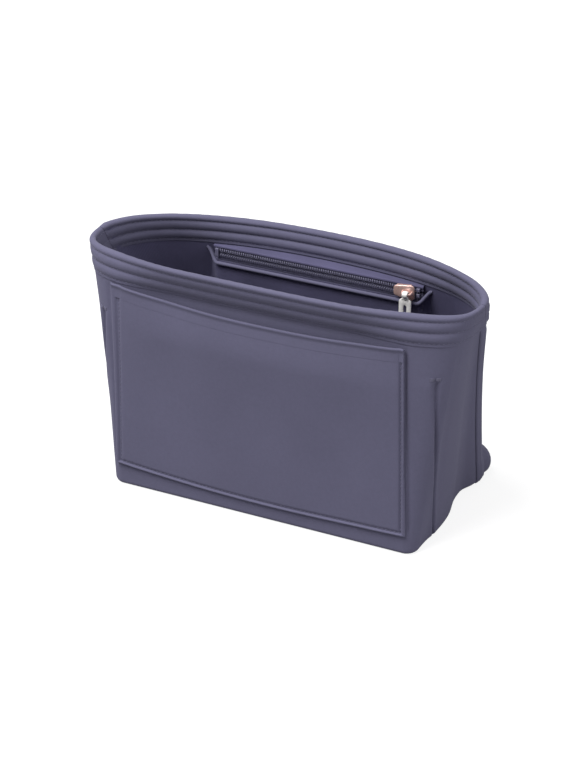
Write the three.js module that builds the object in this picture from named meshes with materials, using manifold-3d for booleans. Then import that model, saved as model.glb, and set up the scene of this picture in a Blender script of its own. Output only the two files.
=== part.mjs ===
// Purse organizer insert: a soft, open-topped insert with a boxed base, a stitched rim band,
// a slip pocket on the front and a zipped pocket inside the back wall.
// Millimetres. +X runs along the length, +Y to the back and +Z up, and the insert stands on z = 0.
import * as THREE from 'three';
import { mergeVertices } from 'three/addons/utils/BufferGeometryUtils.js';
import Module from 'manifold-3d';

const wasm = await Module();
wasm.setup();

// Overall size
const rimLength = 256;
const height = 158;

// Boxed base, with ends that swell at their creases and are drawn in between them
const baseLength = 204;
const baseDepth = 118;
const baseCornerRadius = 6;
const endSwell = 2;
const endPinch = 3;
const endPinchBack = 20;

// Side seams: their foot stands behind the drawn-in place, their head in front of the middle
const seamPastPinch = 22;
const seamForward = 24;

// Mouth, seen from above: two bowed edges that meet at the side seams. The front wall has a waist.
const frontBow = 36.3;
const frontFullness = 3.36;
const backBow = 54.2;
const backFullness = 2.12;
const wallWaist = 2.5;

// Length of the rim that each corner of the base fans out to, on the front and on the back
const frontFan = 29;
const backFan = 18;

// Cloth and stiffening
const outerCloth = 0.7;
const interlining = 1.2;
const liningCloth = 0.5;
const baseCloth = 1.2;
const boardThickness = 2.5;
const boardClearance = 0.8;
const gap = 0.3;
const seamGap = 0.9;

// Rim band
const bandDrop = 19.5;
const bandCloth = 0.8;

// Side seam strips
const seamStripWidth = 9;
const seamStripThickness = 0.7;

// Front slip pocket, from the middle of the front
const pocketLeft = 97.5;
const pocketRight = 94;
const pocketFoot = 13;
const pocketMouthDrop = 1.5;
const pocketSlack = 7;
const pocketBinding = 8;
const bindingThickness = 0.6;

// Zipped pocket inside the back wall, from the middle of the back
const zipLeft = 73;
const zipRight = 73;
const zipWallClearance = 0.9;
const stripDrop = 0.7;
const zipPocketFoot = 55;
const zipPocketSideReach = 5;
const pocketCloth = 0.6;
const pipingDiameter = 2.4;
const pipingClearance = 0.8;

// Zip
const tapeThickness = 0.6;
const tapeWidth = 12;
const chainWidth = 6;
const chainGap = 1.2;
const chainThickness = 2;
const chainEndMargin = 1.5;
const stopLength = 2.2;

// Slider
const sliderLength = 13.7;
const sliderWidth = 9.9;
const sliderNarrowWidth = 7.2;
const sliderCorner = 2.2;
const sliderPlate = 1.2;
const sliderClearance = 0.4;
const sliderPostLength = 3;
const sliderPostThickness = 0.6;
const crownOffset = 2.5;
const crownLength = 7.4;
const crownReach = 3.5;
const crownBar = 1.4;

// Pull tab
const tabWidth = 8;
const tabLength = 27;
const tabThickness = 1.2;
const tabCorner = 2;
const tabSlotWidth = 2.2;
const tabSlotLength = 14;
const tabSlotDrop = 7;
const tabNeckTop = 3;
const tabEyeWidth = 3.6;
const tabEyeWall = 0.9;
const tabEyePlay = 0.3;

// Fineness of the faceted forms
const frontSteps = 4;
const frontCornerSteps = 4;
const backCornerSteps = 2;
const frontEndSteps = 4;
const backEndSteps = 2;
const wallRows = 4;
const normalStep = 0.5;
const columnMerge = 0.2;
const roundSegments = 4;

// Worked out from the sizes above
const wallThickness = outerCloth + gap + interlining + gap + liningCloth;
const bandStand = gap + bandCloth;
const bandRoll = (wallThickness + 2 * bandStand) / 2;
const rimHalf = rimLength / 2 - bandStand;
const wallFoot = baseCloth + gap;
const wallHead = height - bandRoll;
const bandFoot = height - bandDrop;
const pocketMouth = bandFoot - pocketMouthDrop;
const shelf = bandFoot - gap - pocketCloth;
const stripLow = shelf - stripDrop;
const zipHeight = stripLow - gap - chainWidth / 2;
const panelTop = zipHeight - sliderWidth / 2 - pipingClearance;

// Base outline from the middle of the front or back edge to the drawn-in place, which is at y = 0
const baseHalf = baseLength / 2;
function baseQuarter(depth) {
  const cornerEnd = depth - baseCornerRadius;
  const crest = depth / 2;
  const ease = crest / 2;
  const outline = new THREE.Path();
  outline.moveTo(0, -depth);
  outline.lineTo(baseHalf - baseCornerRadius, -depth);
  outline.absarc(baseHalf - baseCornerRadius, -cornerEnd, baseCornerRadius, -Math.PI / 2, 0, false);
  outline.bezierCurveTo(
    baseHalf, -(cornerEnd - ease), baseHalf + endSwell, -(crest + ease),
    baseHalf + endSwell, -crest,
  );
  outline.bezierCurveTo(
    baseHalf + endSwell, -(crest - ease), baseHalf - endPinch, -ease,
    baseHalf - endPinch, 0,
  );
  return outline;
}

// Rim outline from the middle of a bowed edge to its tip, fuller than an ellipse
class RimQuarter extends THREE.Curve {
  constructor(bow, fullness) {
    super();
    this.bow = bow;
    this.power = 2 / fullness;
  }

  getPoint(t, target = new THREE.Vector2()) {
    const angle = (t * Math.PI) / 2;
    const x = rimHalf * Math.sin(angle) ** this.power;
    const y = this.bow * Math.max(Math.cos(angle), 0) ** this.power;
    return target.set(x, y - seamForward);
  }
}

// The front and back halves of the base and the rim: the outlines of their right quarters, the length of
// rim over a corner, and the way a base outline is turned along Y
const front = {
  base: baseQuarter(baseDepth / 2 + endPinchBack),
  rim: new RimQuarter(-frontBow, frontFullness),
  fan: frontFan,
  turned: 1,
};
const back = {
  base: baseQuarter(baseDepth / 2 - endPinchBack),
  rim: new RimQuarter(backBow, backFullness),
  fan: backFan,
  turned: -1,
};

// Lengths round the base outline: to the drawn-in place of the right end, to the right side seam,
// to the middle of the back, and all round
const pinchRun = front.base.getLength();
const seamRun = pinchRun + seamPastPinch;
const halfTurn = pinchRun + back.base.getLength();
const turn = 2 * halfTurn;

// A place on the loop, counted to the right or left from the middle of the front
function wrap(along) {
  return along - turn * Math.round(along / turn);
}

// Length from the middle of the front or back to a place that far round the loop
function sideRun(side, reach) {
  return side === front ? reach : halfTurn - reach;
}

// Lengths of the straight edge at the front or back, and of the corner after it
const edge = baseHalf - baseCornerRadius;
const cornerRun = (baseCornerRadius * Math.PI) / 2;

// Cloth hangs straight from the rim along the front and back, fans out from the corners of the base, and
// is gathered in along the ends
function rimShare(side, run) {
  const { mapLinear } = THREE.MathUtils;
  const rimQuarter = side.rim.getLength();
  const corner = edge + cornerRun;
  const fanned = edge + side.fan;
  if (run <= edge) {
    return run / rimQuarter;
  }
  if (run <= corner) {
    return mapLinear(run, edge, corner, edge, fanned) / rimQuarter;
  }
  return mapLinear(run, corner, sideRun(side, seamRun), fanned, rimQuarter) / rimQuarter;
}

// Point of the wall's plain section at a height. Along runs round the base outline: 0 in the middle
// of the front, then past the right side seam to the middle of the back.
function sectionPoint(along, z) {
  const reach = Math.abs(wrap(along));
  const footSide = reach > pinchRun ? back : front;
  const foot = footSide.base.getPoint(sideRun(footSide, reach) / footSide.base.getLength());
  const footY = footSide.turned * foot.y + endPinchBack;
  const headSide = reach > seamRun ? back : front;
  const head = headSide.rim.getPointAt(rimShare(headSide, sideRun(headSide, reach)));
  const rise = z / height;
  const x = THREE.MathUtils.lerp(foot.x, head.x, rise);
  const y = THREE.MathUtils.lerp(footY, head.y, rise);
  return new THREE.Vector2(wrap(along) < 0 ? -x : x, y);
}

// How far the wall draws in: most at half height of the front, and less along an end to its side seam
function waist(along, rise) {
  const behind = THREE.MathUtils.smoothstep(Math.abs(wrap(along)), edge + cornerRun, seamRun);
  return wallWaist * 4 * rise * (1 - rise) * (1 - behind);
}

// Point of the wall, a distance out from its outer face
function wall(along, z, out) {
  const middle = sectionPoint(along, z);
  const before = sectionPoint(along - normalStep, z);
  const after = sectionPoint(along + normalStep, z);
  const tangent = after.sub(before).normalize();
  const reach = out - waist(along, z / height);
  return new THREE.Vector3(middle.x + tangent.y * reach, middle.y - tangent.x * reach, z);
}

// Even steps from one value to another
function steps(from, to, count) {
  return Array.from({ length: count + 1 }, (_, i) => THREE.MathUtils.lerp(from, to, i / count));
}

// Columns that all the cloth pieces share, so that their facets lie face to face: even steps,
// and the places where a piece ends
function sideColumns(side, cornerSteps, endColumns, pieceEnds) {
  const toSeam = sideRun(side, seamRun);
  return [
    ...steps(0, edge, frontSteps),
    ...steps(edge, edge + cornerRun, cornerSteps),
    ...endColumns,
    ...pieceEnds,
    toSeam - seamStripWidth / 2,
    toSeam - seamGap / 2,
  ];
}

const frontEnd = [
  ...steps(edge + cornerRun, pinchRun, frontEndSteps),
  ...steps(pinchRun, seamRun, backEndSteps),
];
const backEnd = steps(edge + cornerRun, sideRun(back, seamRun), backEndSteps);

const zipPocketEnds = [zipLeft + zipPocketSideReach, zipRight + zipPocketSideReach];
const frontColumns = sideColumns(front, frontCornerSteps, frontEnd, [pocketLeft, pocketRight]);
const rearColumns = sideColumns(back, backCornerSteps, backEnd, zipPocketEnds);
const loopColumns = [
  [0, frontColumns], [halfTurn, rearColumns], [-halfTurn, rearColumns], [turn, frontColumns],
].flatMap(([middle, runs]) => runs.flatMap((run) => [middle - run, middle + run]));

function columns(from, to) {
  const inside = loopColumns.filter((along) => along > from + columnMerge && along < to - columnMerge);
  const sorted = [from, ...inside, to].sort((a, b) => a - b);
  return sorted.filter((along, i) => i === 0 || along - sorted[i - 1] > columnMerge);
}

// Heights that the cloth pieces share in the same way
const bandMiddle = (bandFoot + height) / 2;
const wallHeights = [...steps(wallFoot, bandFoot, wallRows), bandMiddle, wallHead];

function heights(low, high) {
  return [low, ...wallHeights.filter((z) => z > low + gap && z < high - gap), high];
}

// Column positions on the back wall, counted to the right from the middle of the back
function backColumns(from, to) {
  return columns(halfTurn - to, halfTurn - from).map((along) => halfTurn - along).reverse();
}

// A sheet of cloth lofted through sections, each an outer and an inner path of as many points
function sheet(sections) {
  const rows = sections[0].outer.length;
  const last = sections.length - 1;
  const points = sections.flatMap(({ outer, inner }) => [...outer, ...inner]);
  const outer = (section, row) => section * 2 * rows + row;
  const inner = (section, row) => section * 2 * rows + rows + row;
  const triangles = [];
  const quad = (a, b, c, d) => triangles.push(a, b, c, a, c, d);
  // Layers face to face are cut along the same diagonal, whichever way their paths run
  const facet = (a, b, c, d, rising) => (rising ? quad(a, b, c, d) : quad(b, c, d, a));
  for (let s = 0; s < last; s += 1) {
    for (let r = 0; r + 1 < rows; r += 1) {
      const rising = points[outer(s, r)].z <= points[outer(s, r + 1)].z;
      facet(outer(s, r), outer(s + 1, r), outer(s + 1, r + 1), outer(s, r + 1), rising);
      facet(inner(s, r), inner(s, r + 1), inner(s + 1, r + 1), inner(s + 1, r), rising);
    }
    quad(inner(s, 0), inner(s + 1, 0), outer(s + 1, 0), outer(s, 0));
    quad(outer(s, rows - 1), outer(s + 1, rows - 1), inner(s + 1, rows - 1), inner(s, rows - 1));
  }
  for (let r = 0; r + 1 < rows; r += 1) {
    quad(inner(0, r), outer(0, r), outer(0, r + 1), inner(0, r + 1));
    quad(outer(last, r), inner(last, r), inner(last, r + 1), outer(last, r + 1));
  }
  const geometry = new THREE.BufferGeometry().setFromPoints(points);
  geometry.setIndex(triangles);
  geometry.computeVertexNormals();
  return geometry;
}

// A layer of the wall between two depths, over a stretch of the loop and a range of heights
function wallLayer(stretch, low, high, outerAt, innerAt) {
  return sheet(columns(...stretch).map((along) => ({
    outer: heights(low, high).map((z) => wall(along, z, outerAt(along, z))),
    inner: heights(low, high).map((z) => wall(along, z, innerAt(along, z))),
  })));
}

function evenLayer(stretch, low, high, outer, inner) {
  return wallLayer(stretch, low, high, () => outer, () => inner);
}

// Front and back stretches of the loop, between the side seams
const frontStretch = [-seamRun + seamGap / 2, seamRun - seamGap / 2];
const backStretch = [seamRun + seamGap / 2, turn - seamRun - seamGap / 2];

// Finishes
const finishes = {
  outerCloth: { color: 0x5d5b71, roughness: 0.85, metalness: 0 },
  liningCloth: { color: 0x3a384e, roughness: 0.9, metalness: 0 },
  stiffening: { color: 0xb9b9bd, roughness: 0.95, metalness: 0 },
  board: { color: 0x6b6257, roughness: 0.9, metalness: 0 },
  zipTape: { color: 0x45435a, roughness: 0.9, metalness: 0 },
  zipCoil: { color: 0x4b4960, roughness: 0.5, metalness: 0 },
  roseGold: { color: 0xc39a8c, roughness: 0.3, metalness: 1 },
  silver: { color: 0xd9d6d2, roughness: 0.25, metalness: 1 },
};

const insert = new THREE.Group();

function piece(name, geometry, finish) {
  const mesh = new THREE.Mesh(geometry, new THREE.MeshStandardMaterial(finishes[finish]));
  mesh.name = name;
  insert.add(mesh);
  return mesh;
}

// A flat sheet that fills the inside of the walls, or the whole base where the inset is 0
function floorSheet(low, thickness, inset) {
  const top = inset > 0 ? low + thickness : 0;
  const outline = columns(0, turn).slice(0, -1).map((along) => {
    const point = wall(along, top, -inset);
    return new THREE.Vector2(point.x, point.y);
  });
  const geometry = new THREE.ExtrudeGeometry(new THREE.Shape(outline), { depth: thickness, bevelEnabled: false });
  return geometry.translate(0, 0, low);
}

// Base
const boardInset = wallThickness + boardClearance;
const floorLow = wallFoot + boardThickness + gap;
piece('base_panel', floorSheet(0, baseCloth, 0), 'outerCloth');
piece('base_board', floorSheet(wallFoot, boardThickness, boardInset), 'board');
piece('floor_lining', floorSheet(floorLow, liningCloth, boardInset), 'liningCloth');

// Walls: outer cloth, interlining and lining
const interliningFace = -(outerCloth + gap);
const liningFace = interliningFace - interlining - gap;
for (const [side, stretch] of [['front', frontStretch], ['back', backStretch]]) {
  const layer = (outer, thickness) => evenLayer(stretch, wallFoot, wallHead, outer, outer - thickness);
  piece(`${side}_panel`, layer(0, outerCloth), 'outerCloth');
  piece(`${side}_interlining`, layer(interliningFace, interlining), 'stiffening');
  piece(`${side}_lining`, layer(liningFace, liningCloth), 'liningCloth');
}

// Rim band: a strip folded over the top of the wall, with a rounded roll
function bandPath(along, stand) {
  const middle = -wallThickness / 2;
  const half = wallThickness / 2 + stand;
  const roll = steps(0, Math.PI, roundSegments).map((angle) =>
    wall(along, height - bandRoll + half * Math.sin(angle), middle + half * Math.cos(angle)));
  return [
    wall(along, bandFoot, middle + half),
    wall(along, bandMiddle, middle + half),
    ...roll,
    wall(along, bandMiddle, middle - half),
    wall(along, bandFoot, middle - half),
  ];
}

for (const [side, stretch] of [['front', frontStretch], ['back', backStretch]]) {
  const sections = columns(...stretch).map((along) => ({
    outer: bandPath(along, bandStand),
    inner: bandPath(along, gap),
  }));
  piece(`rim_band_${side}`, sheet(sections), 'outerCloth');
}

// Side seam strips, under the rim band
for (const [side, seam] of [['right', seamRun], ['left', -seamRun]]) {
  const stretch = [seam - seamStripWidth / 2, seam + seamStripWidth / 2];
  const strip = evenLayer(stretch, wallFoot, bandFoot - gap, gap + seamStripThickness, gap);
  piece(`side_seam_${side}`, strip, 'outerCloth');
}

// Front slip pocket: flat at its sewn edges, standing off the wall towards the middle of its mouth
function pocketLift(along, z) {
  const middle = (pocketRight - pocketLeft) / 2;
  const across = (along - middle) / ((pocketRight + pocketLeft) / 2);
  const up = (z - pocketFoot) / (pocketMouth - pocketFoot);
  return gap + pocketSlack * (1 - across ** 4) * Math.sin((up * Math.PI) / 2);
}

const pocketOuter = (along, z) => pocketLift(along, z) + outerCloth;
const pocketStretch = [-pocketLeft, pocketRight];
const pocketPanel = wallLayer(pocketStretch, pocketFoot, pocketMouth, pocketOuter, pocketLift);
piece('front_pocket_panel', pocketPanel, 'outerCloth');

// Binding along the pocket's mouth, on the outside of its panel
const bindingInner = (along, z) => pocketOuter(along, z) + gap;
const bindingOuter = (along, z) => bindingInner(along, z) + bindingThickness;
const bindingLow = pocketMouth - pocketBinding;
const binding = wallLayer(pocketStretch, bindingLow, pocketMouth, bindingOuter, bindingInner);
piece('front_pocket_binding', binding, 'outerCloth');

// Zip line: straight, in front of the bowed back wall, close to it at the further end of the zip
const zipReach = Math.max(zipLeft, zipRight);
const zipY = wall(halfTurn - zipReach, shelf, -wallThickness).y - zipWallClearance;
const tapeFront = zipY - tapeThickness / 2;
const clothFront = tapeFront - gap - pocketCloth;

// Back edge of the pocket's cloth, where it is sewn to the lining
function sewnPoint(run, z) {
  return wall(halfTurn - run, z, -(wallThickness + gap));
}

// Pocket panel: hangs straight in front of the lower tape, then slopes back to the wall at its foot,
// and turns back to the wall past the ends of the zip
const hangFoot = zipHeight - tapeWidth - gap;
const panelHeights = [...heights(zipPocketFoot, hangFoot), panelTop];

function pocketColumn(run) {
  const atEnd = run < -zipLeft || run > zipRight;
  const footY = sewnPoint(run, zipPocketFoot).y;
  const inner = panelHeights.map((z) => {
    const point = sewnPoint(run, z);
    const rise = Math.min((z - zipPocketFoot) / (hangFoot - zipPocketFoot), 1);
    const hanging = THREE.MathUtils.lerp(footY, clothFront + pocketCloth, rise);
    return point.setY(atEnd ? point.y : Math.min(hanging, point.y));
  });
  const outer = inner.map((point) => point.clone().setY(point.y - pocketCloth));
  return { outer, inner };
}

const pocketEnds = [-zipLeft - zipPocketSideReach, zipRight + zipPocketSideReach];
const pocketRuns = backColumns(-zipLeft, zipRight);
const panelSections = [pocketEnds[0], ...pocketRuns, pocketEnds[1]].map(pocketColumn);
piece('zip_pocket_panel', sheet(panelSections), 'liningCloth');

// Upper strip: from the upper tape's front over to the wall, just under the rim band
const upperTapeTop = shelf - gap;
function stripColumn(run) {
  const wallEdge = sewnPoint(run, shelf);
  const point = (y, z) => new THREE.Vector3(wallEdge.x, y, z);
  const top = shelf + pocketCloth;
  const clothBack = clothFront + pocketCloth;
  return {
    outer: [point(clothFront, stripLow), point(clothFront, top), point(wallEdge.y, top)],
    inner: [point(clothBack, stripLow), point(clothBack, shelf), point(wallEdge.y, shelf)],
  };
}

piece('zip_top_strip', sheet(pocketRuns.map(stripColumn)), 'liningCloth');

// A box given by its lowest and highest corners
function block(low, high) {
  const size = high.map((value, axis) => value - low[axis]);
  const middle = high.map((value, axis) => (value + low[axis]) / 2);
  return new THREE.BoxGeometry(...size).translate(...middle);
}

// Piping along the top edge of the pocket panel
const pipingRadius = pipingDiameter / 2;
const pipingShape = new THREE.Shape().absarc(0, 0, pipingRadius, 0, 2 * Math.PI, false);
const pipingEnds = [panelSections[1].outer[0].x, panelSections[panelSections.length - 2].outer[0].x];
const pipingY = clothFront - gap - pipingRadius;
const pipingZ = panelTop - pipingRadius;
const pipingPath = new THREE.LineCurve3(
  new THREE.Vector3(pipingEnds[0], pipingY, pipingZ),
  new THREE.Vector3(pipingEnds[1], pipingY, pipingZ),
);
const piping = new THREE.ExtrudeGeometry(pipingShape, {
  steps: 1, bevelEnabled: false, curveSegments: roundSegments, extrudePath: pipingPath,
});
piece('zip_pocket_piping', piping, 'outerCloth');

// Zip tapes, with room between them for the slider's post
const tapeLeft = sewnPoint(-zipLeft, zipHeight).x + gap;
const tapeRight = sewnPoint(zipRight, zipHeight).x - gap;
const tapeEdge = chainGap / 2;
const tapeLow = zipHeight - tapeWidth;
piece('zip_tape_upper', block(
  [tapeLeft, tapeFront, zipHeight + tapeEdge],
  [tapeRight, tapeFront + tapeThickness, upperTapeTop],
), 'zipTape');
piece('zip_tape_lower', block(
  [tapeLeft, tapeFront, tapeLow],
  [tapeRight, tapeFront + tapeThickness, zipHeight - tapeEdge],
), 'zipTape');

// Coils and stops in front of the tapes
const chainBack = tapeFront - gap;
const chainFront = chainBack - chainThickness;
const coilWidth = (chainWidth - chainGap) / 2;
const stopsLeft = tapeLeft + chainEndMargin;
const stopsRight = tapeRight - chainEndMargin;
const coilLeft = stopsLeft + stopLength + gap;
const coilRight = stopsRight - stopLength - gap;

for (const [side, low] of [['upper', zipHeight + tapeEdge], ['lower', zipHeight - tapeEdge - coilWidth]]) {
  const high = low + coilWidth;
  piece(`zip_coil_${side}`, block([coilLeft, chainFront, low], [coilRight, chainBack, high]), 'zipCoil');
  const stop = block([coilRight + gap, chainFront, low], [stopsRight, chainBack, high]);
  piece(`zip_top_stop_${side}`, stop, 'zipCoil');
}

piece('zip_bottom_stop', block(
  [stopsLeft, chainFront, zipHeight - chainWidth / 2],
  [stopsLeft + stopLength, chainBack, zipHeight + chainWidth / 2],
), 'zipCoil');

// Joining solids that make one piece
function solid(geometry) {
  const bare = geometry.clone();
  bare.deleteAttribute('normal');
  bare.deleteAttribute('uv');
  const merged = mergeVertices(bare);
  return new wasm.Manifold(new wasm.Mesh({
    numProp: 3,
    vertProperties: new Float32Array(merged.attributes.position.array),
    triVerts: new Uint32Array(merged.index.array),
  }));
}

function joined(geometries) {
  const mesh = geometries.map(solid).reduce((whole, next) => whole.add(next)).getMesh();
  const geometry = new THREE.BufferGeometry();
  geometry.setAttribute('position', new THREE.BufferAttribute(mesh.vertProperties, 3));
  geometry.setIndex(new THREE.BufferAttribute(mesh.triVerts, 1));
  geometry.computeVertexNormals();
  return geometry;
}

// An outline in X and Z, given thickness along Y from its front face
function plate(shape, front, thickness) {
  const geometry = new THREE.ExtrudeGeometry(shape, {
    depth: thickness, bevelEnabled: false, curveSegments: roundSegments,
  });
  return geometry.rotateX(Math.PI / 2).translate(0, front + thickness, 0);
}

// Slider plate outline, narrower towards the closed side of the zip, with rounded corners
function sliderOutline(x, z, wide, narrow) {
  const right = x + sliderLength / 2;
  const left = x - sliderLength / 2;
  const corner = Math.min(sliderCorner, narrow / 3);
  const shape = new THREE.Shape();
  shape.moveTo(left + corner, z - narrow / 2);
  shape.lineTo(right - corner, z - wide / 2);
  shape.quadraticCurveTo(right, z - wide / 2, right, z - wide / 2 + corner);
  shape.lineTo(right, z + wide / 2 - corner);
  shape.quadraticCurveTo(right, z + wide / 2, right - corner, z + wide / 2);
  shape.lineTo(left + corner, z + narrow / 2);
  shape.quadraticCurveTo(left, z + narrow / 2, left, z + narrow / 2 - corner);
  shape.lineTo(left, z - narrow / 2 + corner);
  shape.quadraticCurveTo(left, z - narrow / 2, left + corner, z - narrow / 2);
  return shape;
}

// Slider body: a plate in front of the chain and one behind the tapes, on a post between the coils
const sliderX = coilRight - sliderClearance - sliderLength / 2;
const plateBack = chainFront - sliderClearance;
const plateFront = plateBack - sliderPlate;
const rearFront = tapeFront + tapeThickness + sliderClearance;
const rearWidth = 2 * (shelf - sliderClearance - zipHeight);
const postX = sliderX + sliderLength / 2 - sliderCorner - sliderPostLength / 2;
const sink = sliderPlate / 2;
piece('slider_body', joined([
  plate(sliderOutline(sliderX, zipHeight, sliderWidth, sliderNarrowWidth), plateFront, sliderPlate),
  plate(sliderOutline(sliderX, zipHeight, rearWidth, rearWidth), rearFront, sliderPlate),
  block(
    [postX - sliderPostLength / 2, plateBack - sink, zipHeight - sliderPostThickness / 2],
    [postX + sliderPostLength / 2, rearFront + sink, zipHeight + sliderPostThickness / 2],
  ),
]), 'roseGold');

// Crown: a staple on the front plate, whose bar carries the pull tab
const crownX = sliderX + crownOffset;
const crownFoot = plateFront - gap;
const crownFront = crownFoot - crownReach;
const staple = new THREE.Shape();
staple.moveTo(crownX - crownLength / 2, crownFoot);
staple.lineTo(crownX - crownLength / 2, crownFront);
staple.lineTo(crownX + crownLength / 2, crownFront);
staple.lineTo(crownX + crownLength / 2, crownFoot);
staple.lineTo(crownX + crownLength / 2 - crownBar, crownFoot);
staple.lineTo(crownX + crownLength / 2 - crownBar, crownFront + crownBar);
staple.lineTo(crownX - crownLength / 2 + crownBar, crownFront + crownBar);
staple.lineTo(crownX - crownLength / 2 + crownBar, crownFoot);
staple.closePath();
const crown = new THREE.ExtrudeGeometry(staple, { depth: crownBar, bevelEnabled: false });
piece('slider_crown', crown.translate(0, 0, zipHeight - crownBar / 2), 'roseGold');

// Pull tab: an eye round the crown's bar and a slotted plate that hangs from it
const barY = crownFront + crownBar / 2;
const eyeBore = (crownBar * Math.SQRT2) / 2 + tabEyePlay;
const eyeShape = new THREE.Shape().absarc(0, 0, eyeBore + tabEyeWall, 0, 2 * Math.PI, false);
eyeShape.holes.push(new THREE.Path().absarc(0, 0, eyeBore, 0, 2 * Math.PI, true));
const eye = new THREE.ExtrudeGeometry(eyeShape, {
  depth: tabEyeWidth, bevelEnabled: false, curveSegments: 2 * roundSegments,
});
eye.rotateY(Math.PI / 2).translate(crownX - tabEyeWidth / 2, barY, zipHeight);

function roundedBar(x, low, high, width, corner) {
  const shape = new THREE.Shape();
  shape.absarc(x + width / 2 - corner, low + corner, corner, -Math.PI / 2, 0, false);
  shape.absarc(x + width / 2 - corner, high - corner, corner, 0, Math.PI / 2, false);
  shape.absarc(x - width / 2 + corner, high - corner, corner, Math.PI / 2, Math.PI, false);
  shape.absarc(x - width / 2 + corner, low + corner, corner, Math.PI, 1.5 * Math.PI, false);
  return shape;
}

const tabFoot = zipHeight - tabLength;
const tabHead = zipHeight - tabNeckTop;
const slotHead = zipHeight - tabSlotDrop;
const tabShape = roundedBar(crownX, tabFoot, tabHead, tabWidth, tabCorner);
tabShape.holes.push(roundedBar(crownX, slotHead - tabSlotLength, slotHead, tabSlotWidth, tabSlotWidth / 2));
const neck = block(
  [crownX - tabEyeWidth / 2, barY - tabThickness / 2, tabHead - tabCorner],
  [crownX + tabEyeWidth / 2, barY + tabThickness / 2, zipHeight - eyeBore - tabEyeWall / 2],
);
piece('pull_tab', joined([eye, neck, plate(tabShape, barY - tabThickness / 2, tabThickness)]), 'silver');

// The origin stands under the middle of the whole insert
const bounds = new THREE.Box3().setFromObject(insert);
insert.position.y = -(bounds.min.y + bounds.max.y) / 2;

export default insert;
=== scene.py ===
"""Purse organizer insert: soft cloth walls, a stitched rim band, a slip pocket and an inner zipped pocket.

Metres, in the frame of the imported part: +X along the length, +Y to the back wall, +Z up.
"""
import math
from contextlib import contextmanager

import bpy
import numpy as np
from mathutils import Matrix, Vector


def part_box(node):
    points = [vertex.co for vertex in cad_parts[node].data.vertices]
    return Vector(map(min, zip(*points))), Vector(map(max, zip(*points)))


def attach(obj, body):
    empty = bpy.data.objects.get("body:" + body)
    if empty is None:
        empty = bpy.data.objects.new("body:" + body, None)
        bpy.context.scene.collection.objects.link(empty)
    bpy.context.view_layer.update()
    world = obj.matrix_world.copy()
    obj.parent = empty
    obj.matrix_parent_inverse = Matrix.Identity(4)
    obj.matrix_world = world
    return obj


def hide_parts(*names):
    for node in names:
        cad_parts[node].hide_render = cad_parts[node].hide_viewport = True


bl_info = {
    "name": "Purse organizer insert",
    "version": (1, 0, 0),
    "blender": (4, 5, 0),
    "location": "View3D > Sidebar > Insert",
    "description": "Dresses the packed insert in cloth, stitching and metal",
    "category": "Object",
}

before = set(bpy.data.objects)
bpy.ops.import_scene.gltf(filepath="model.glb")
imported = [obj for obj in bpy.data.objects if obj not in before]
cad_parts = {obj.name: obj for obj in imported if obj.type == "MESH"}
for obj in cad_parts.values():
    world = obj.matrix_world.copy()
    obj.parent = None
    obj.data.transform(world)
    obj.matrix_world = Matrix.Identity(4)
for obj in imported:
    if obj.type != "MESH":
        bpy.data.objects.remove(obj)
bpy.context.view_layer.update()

MM = 0.001

# Fineness of curves and meshes. The closest that two rows may be is a share of their step
CURVE_STEPS = 60
RIM_STEPS = 800
NORMAL_STEP = 0.5 * MM
WALL_STEP = 4 * MM
BEND_REACH = 4 * MM
CLOSEST = 0.4
MERGE_DISTANCE = 0.005 * MM
SEWN_POINTS = 600
TACK_POINTS = 9
SEAM_COLUMNS = 23
TURN_STEPS = 10
ARC_POINTS = 12
BEND_POINTS = 9
EYE_COLUMNS = 37
EYE_ROWS = 7

# Corners of the base along its layers' columns, from -1 to 1, and the rows of those layers
BASE_CORNERS = (-0.72, 0.72)
BASE_ROWS = 31

# Half the stretch of the back wall that the zipped pocket is fitted to, and its steps
BACK_REACH = 110 * MM
BACK_STEPS = 241

# Rows of the strip over the zip: up its front, from the fold's start to 1 round the fold, and to the wall
FOLD_START = 0.3
STRIP_ROWS = (0, FOLD_START, 0.5, 0.65, 0.8, 1, 1.3, 1.7, 2)

# Waves of the walls' unevenness: share of its height, count round the insert, slant and phase
SAG_WAVES = ((0.6, 5, 2, 1.1), (0.4, 9, -3, 0.3))

# Puckers of the rim band: how far the ripples wander, in radians, and lengths for one radian
WANDER = 3
WANDER_LENGTH = 11 * MM
RIPPLE_SHARE = 0.6
RIPPLE_SLANT = 4 * MM
SWELL_LENGTH = 17 * MM
SWELL_WIDTH = 5 * MM

# Where the upper part of a rise starts, as a share of it: for the rim's tips, for the lean of the slip
# pocket's mouth and for the drawn-up ends of the zipped pocket
TIP_START = 0.6
LEAN_START = 0.8
DRAW_START = 0.6

# Part of a noise pattern's range that its colours and roughness run over
PATTERN_SPAN = (0.25, 0.75)

# Height of a stitch's middle over the cloth, and how far its ends dip from there, in radii of its thread
STITCH_CREST = 0.9
STITCH_DIP = 1.5

# Camera: width of its frame in millimetres, and the nearest that it sees in metres
SENSOR_WIDTH = 36
NEAREST_SEEN = 0.05


def length(name, description, millimetres):
    """A length that a user can change."""
    return bpy.props.FloatProperty(
        name=name, description=description, default=millimetres * MM, unit="LENGTH", precision=5,
    )


def share(name, description, value):
    """A plain number that a user can change."""
    return bpy.props.FloatProperty(name=name, description=description, default=value)


def colour(name, description, red, green, blue):
    """A linear colour that a user can change."""
    return bpy.props.FloatVectorProperty(
        name=name, description=description, subtype="COLOR", size=3, min=0, max=1,
        default=(red, green, blue),
    )


def power(name, description, watts):
    """A lamp's power that a user can change."""
    return bpy.props.FloatProperty(name=name, description=description, default=watts, unit="POWER")


def position(name, description, x, y, z):
    """A place, in metres, that a user can change."""
    return bpy.props.FloatVectorProperty(
        name=name, description=description, subtype="TRANSLATION", unit="LENGTH", default=(x, y, z),
    )


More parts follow.
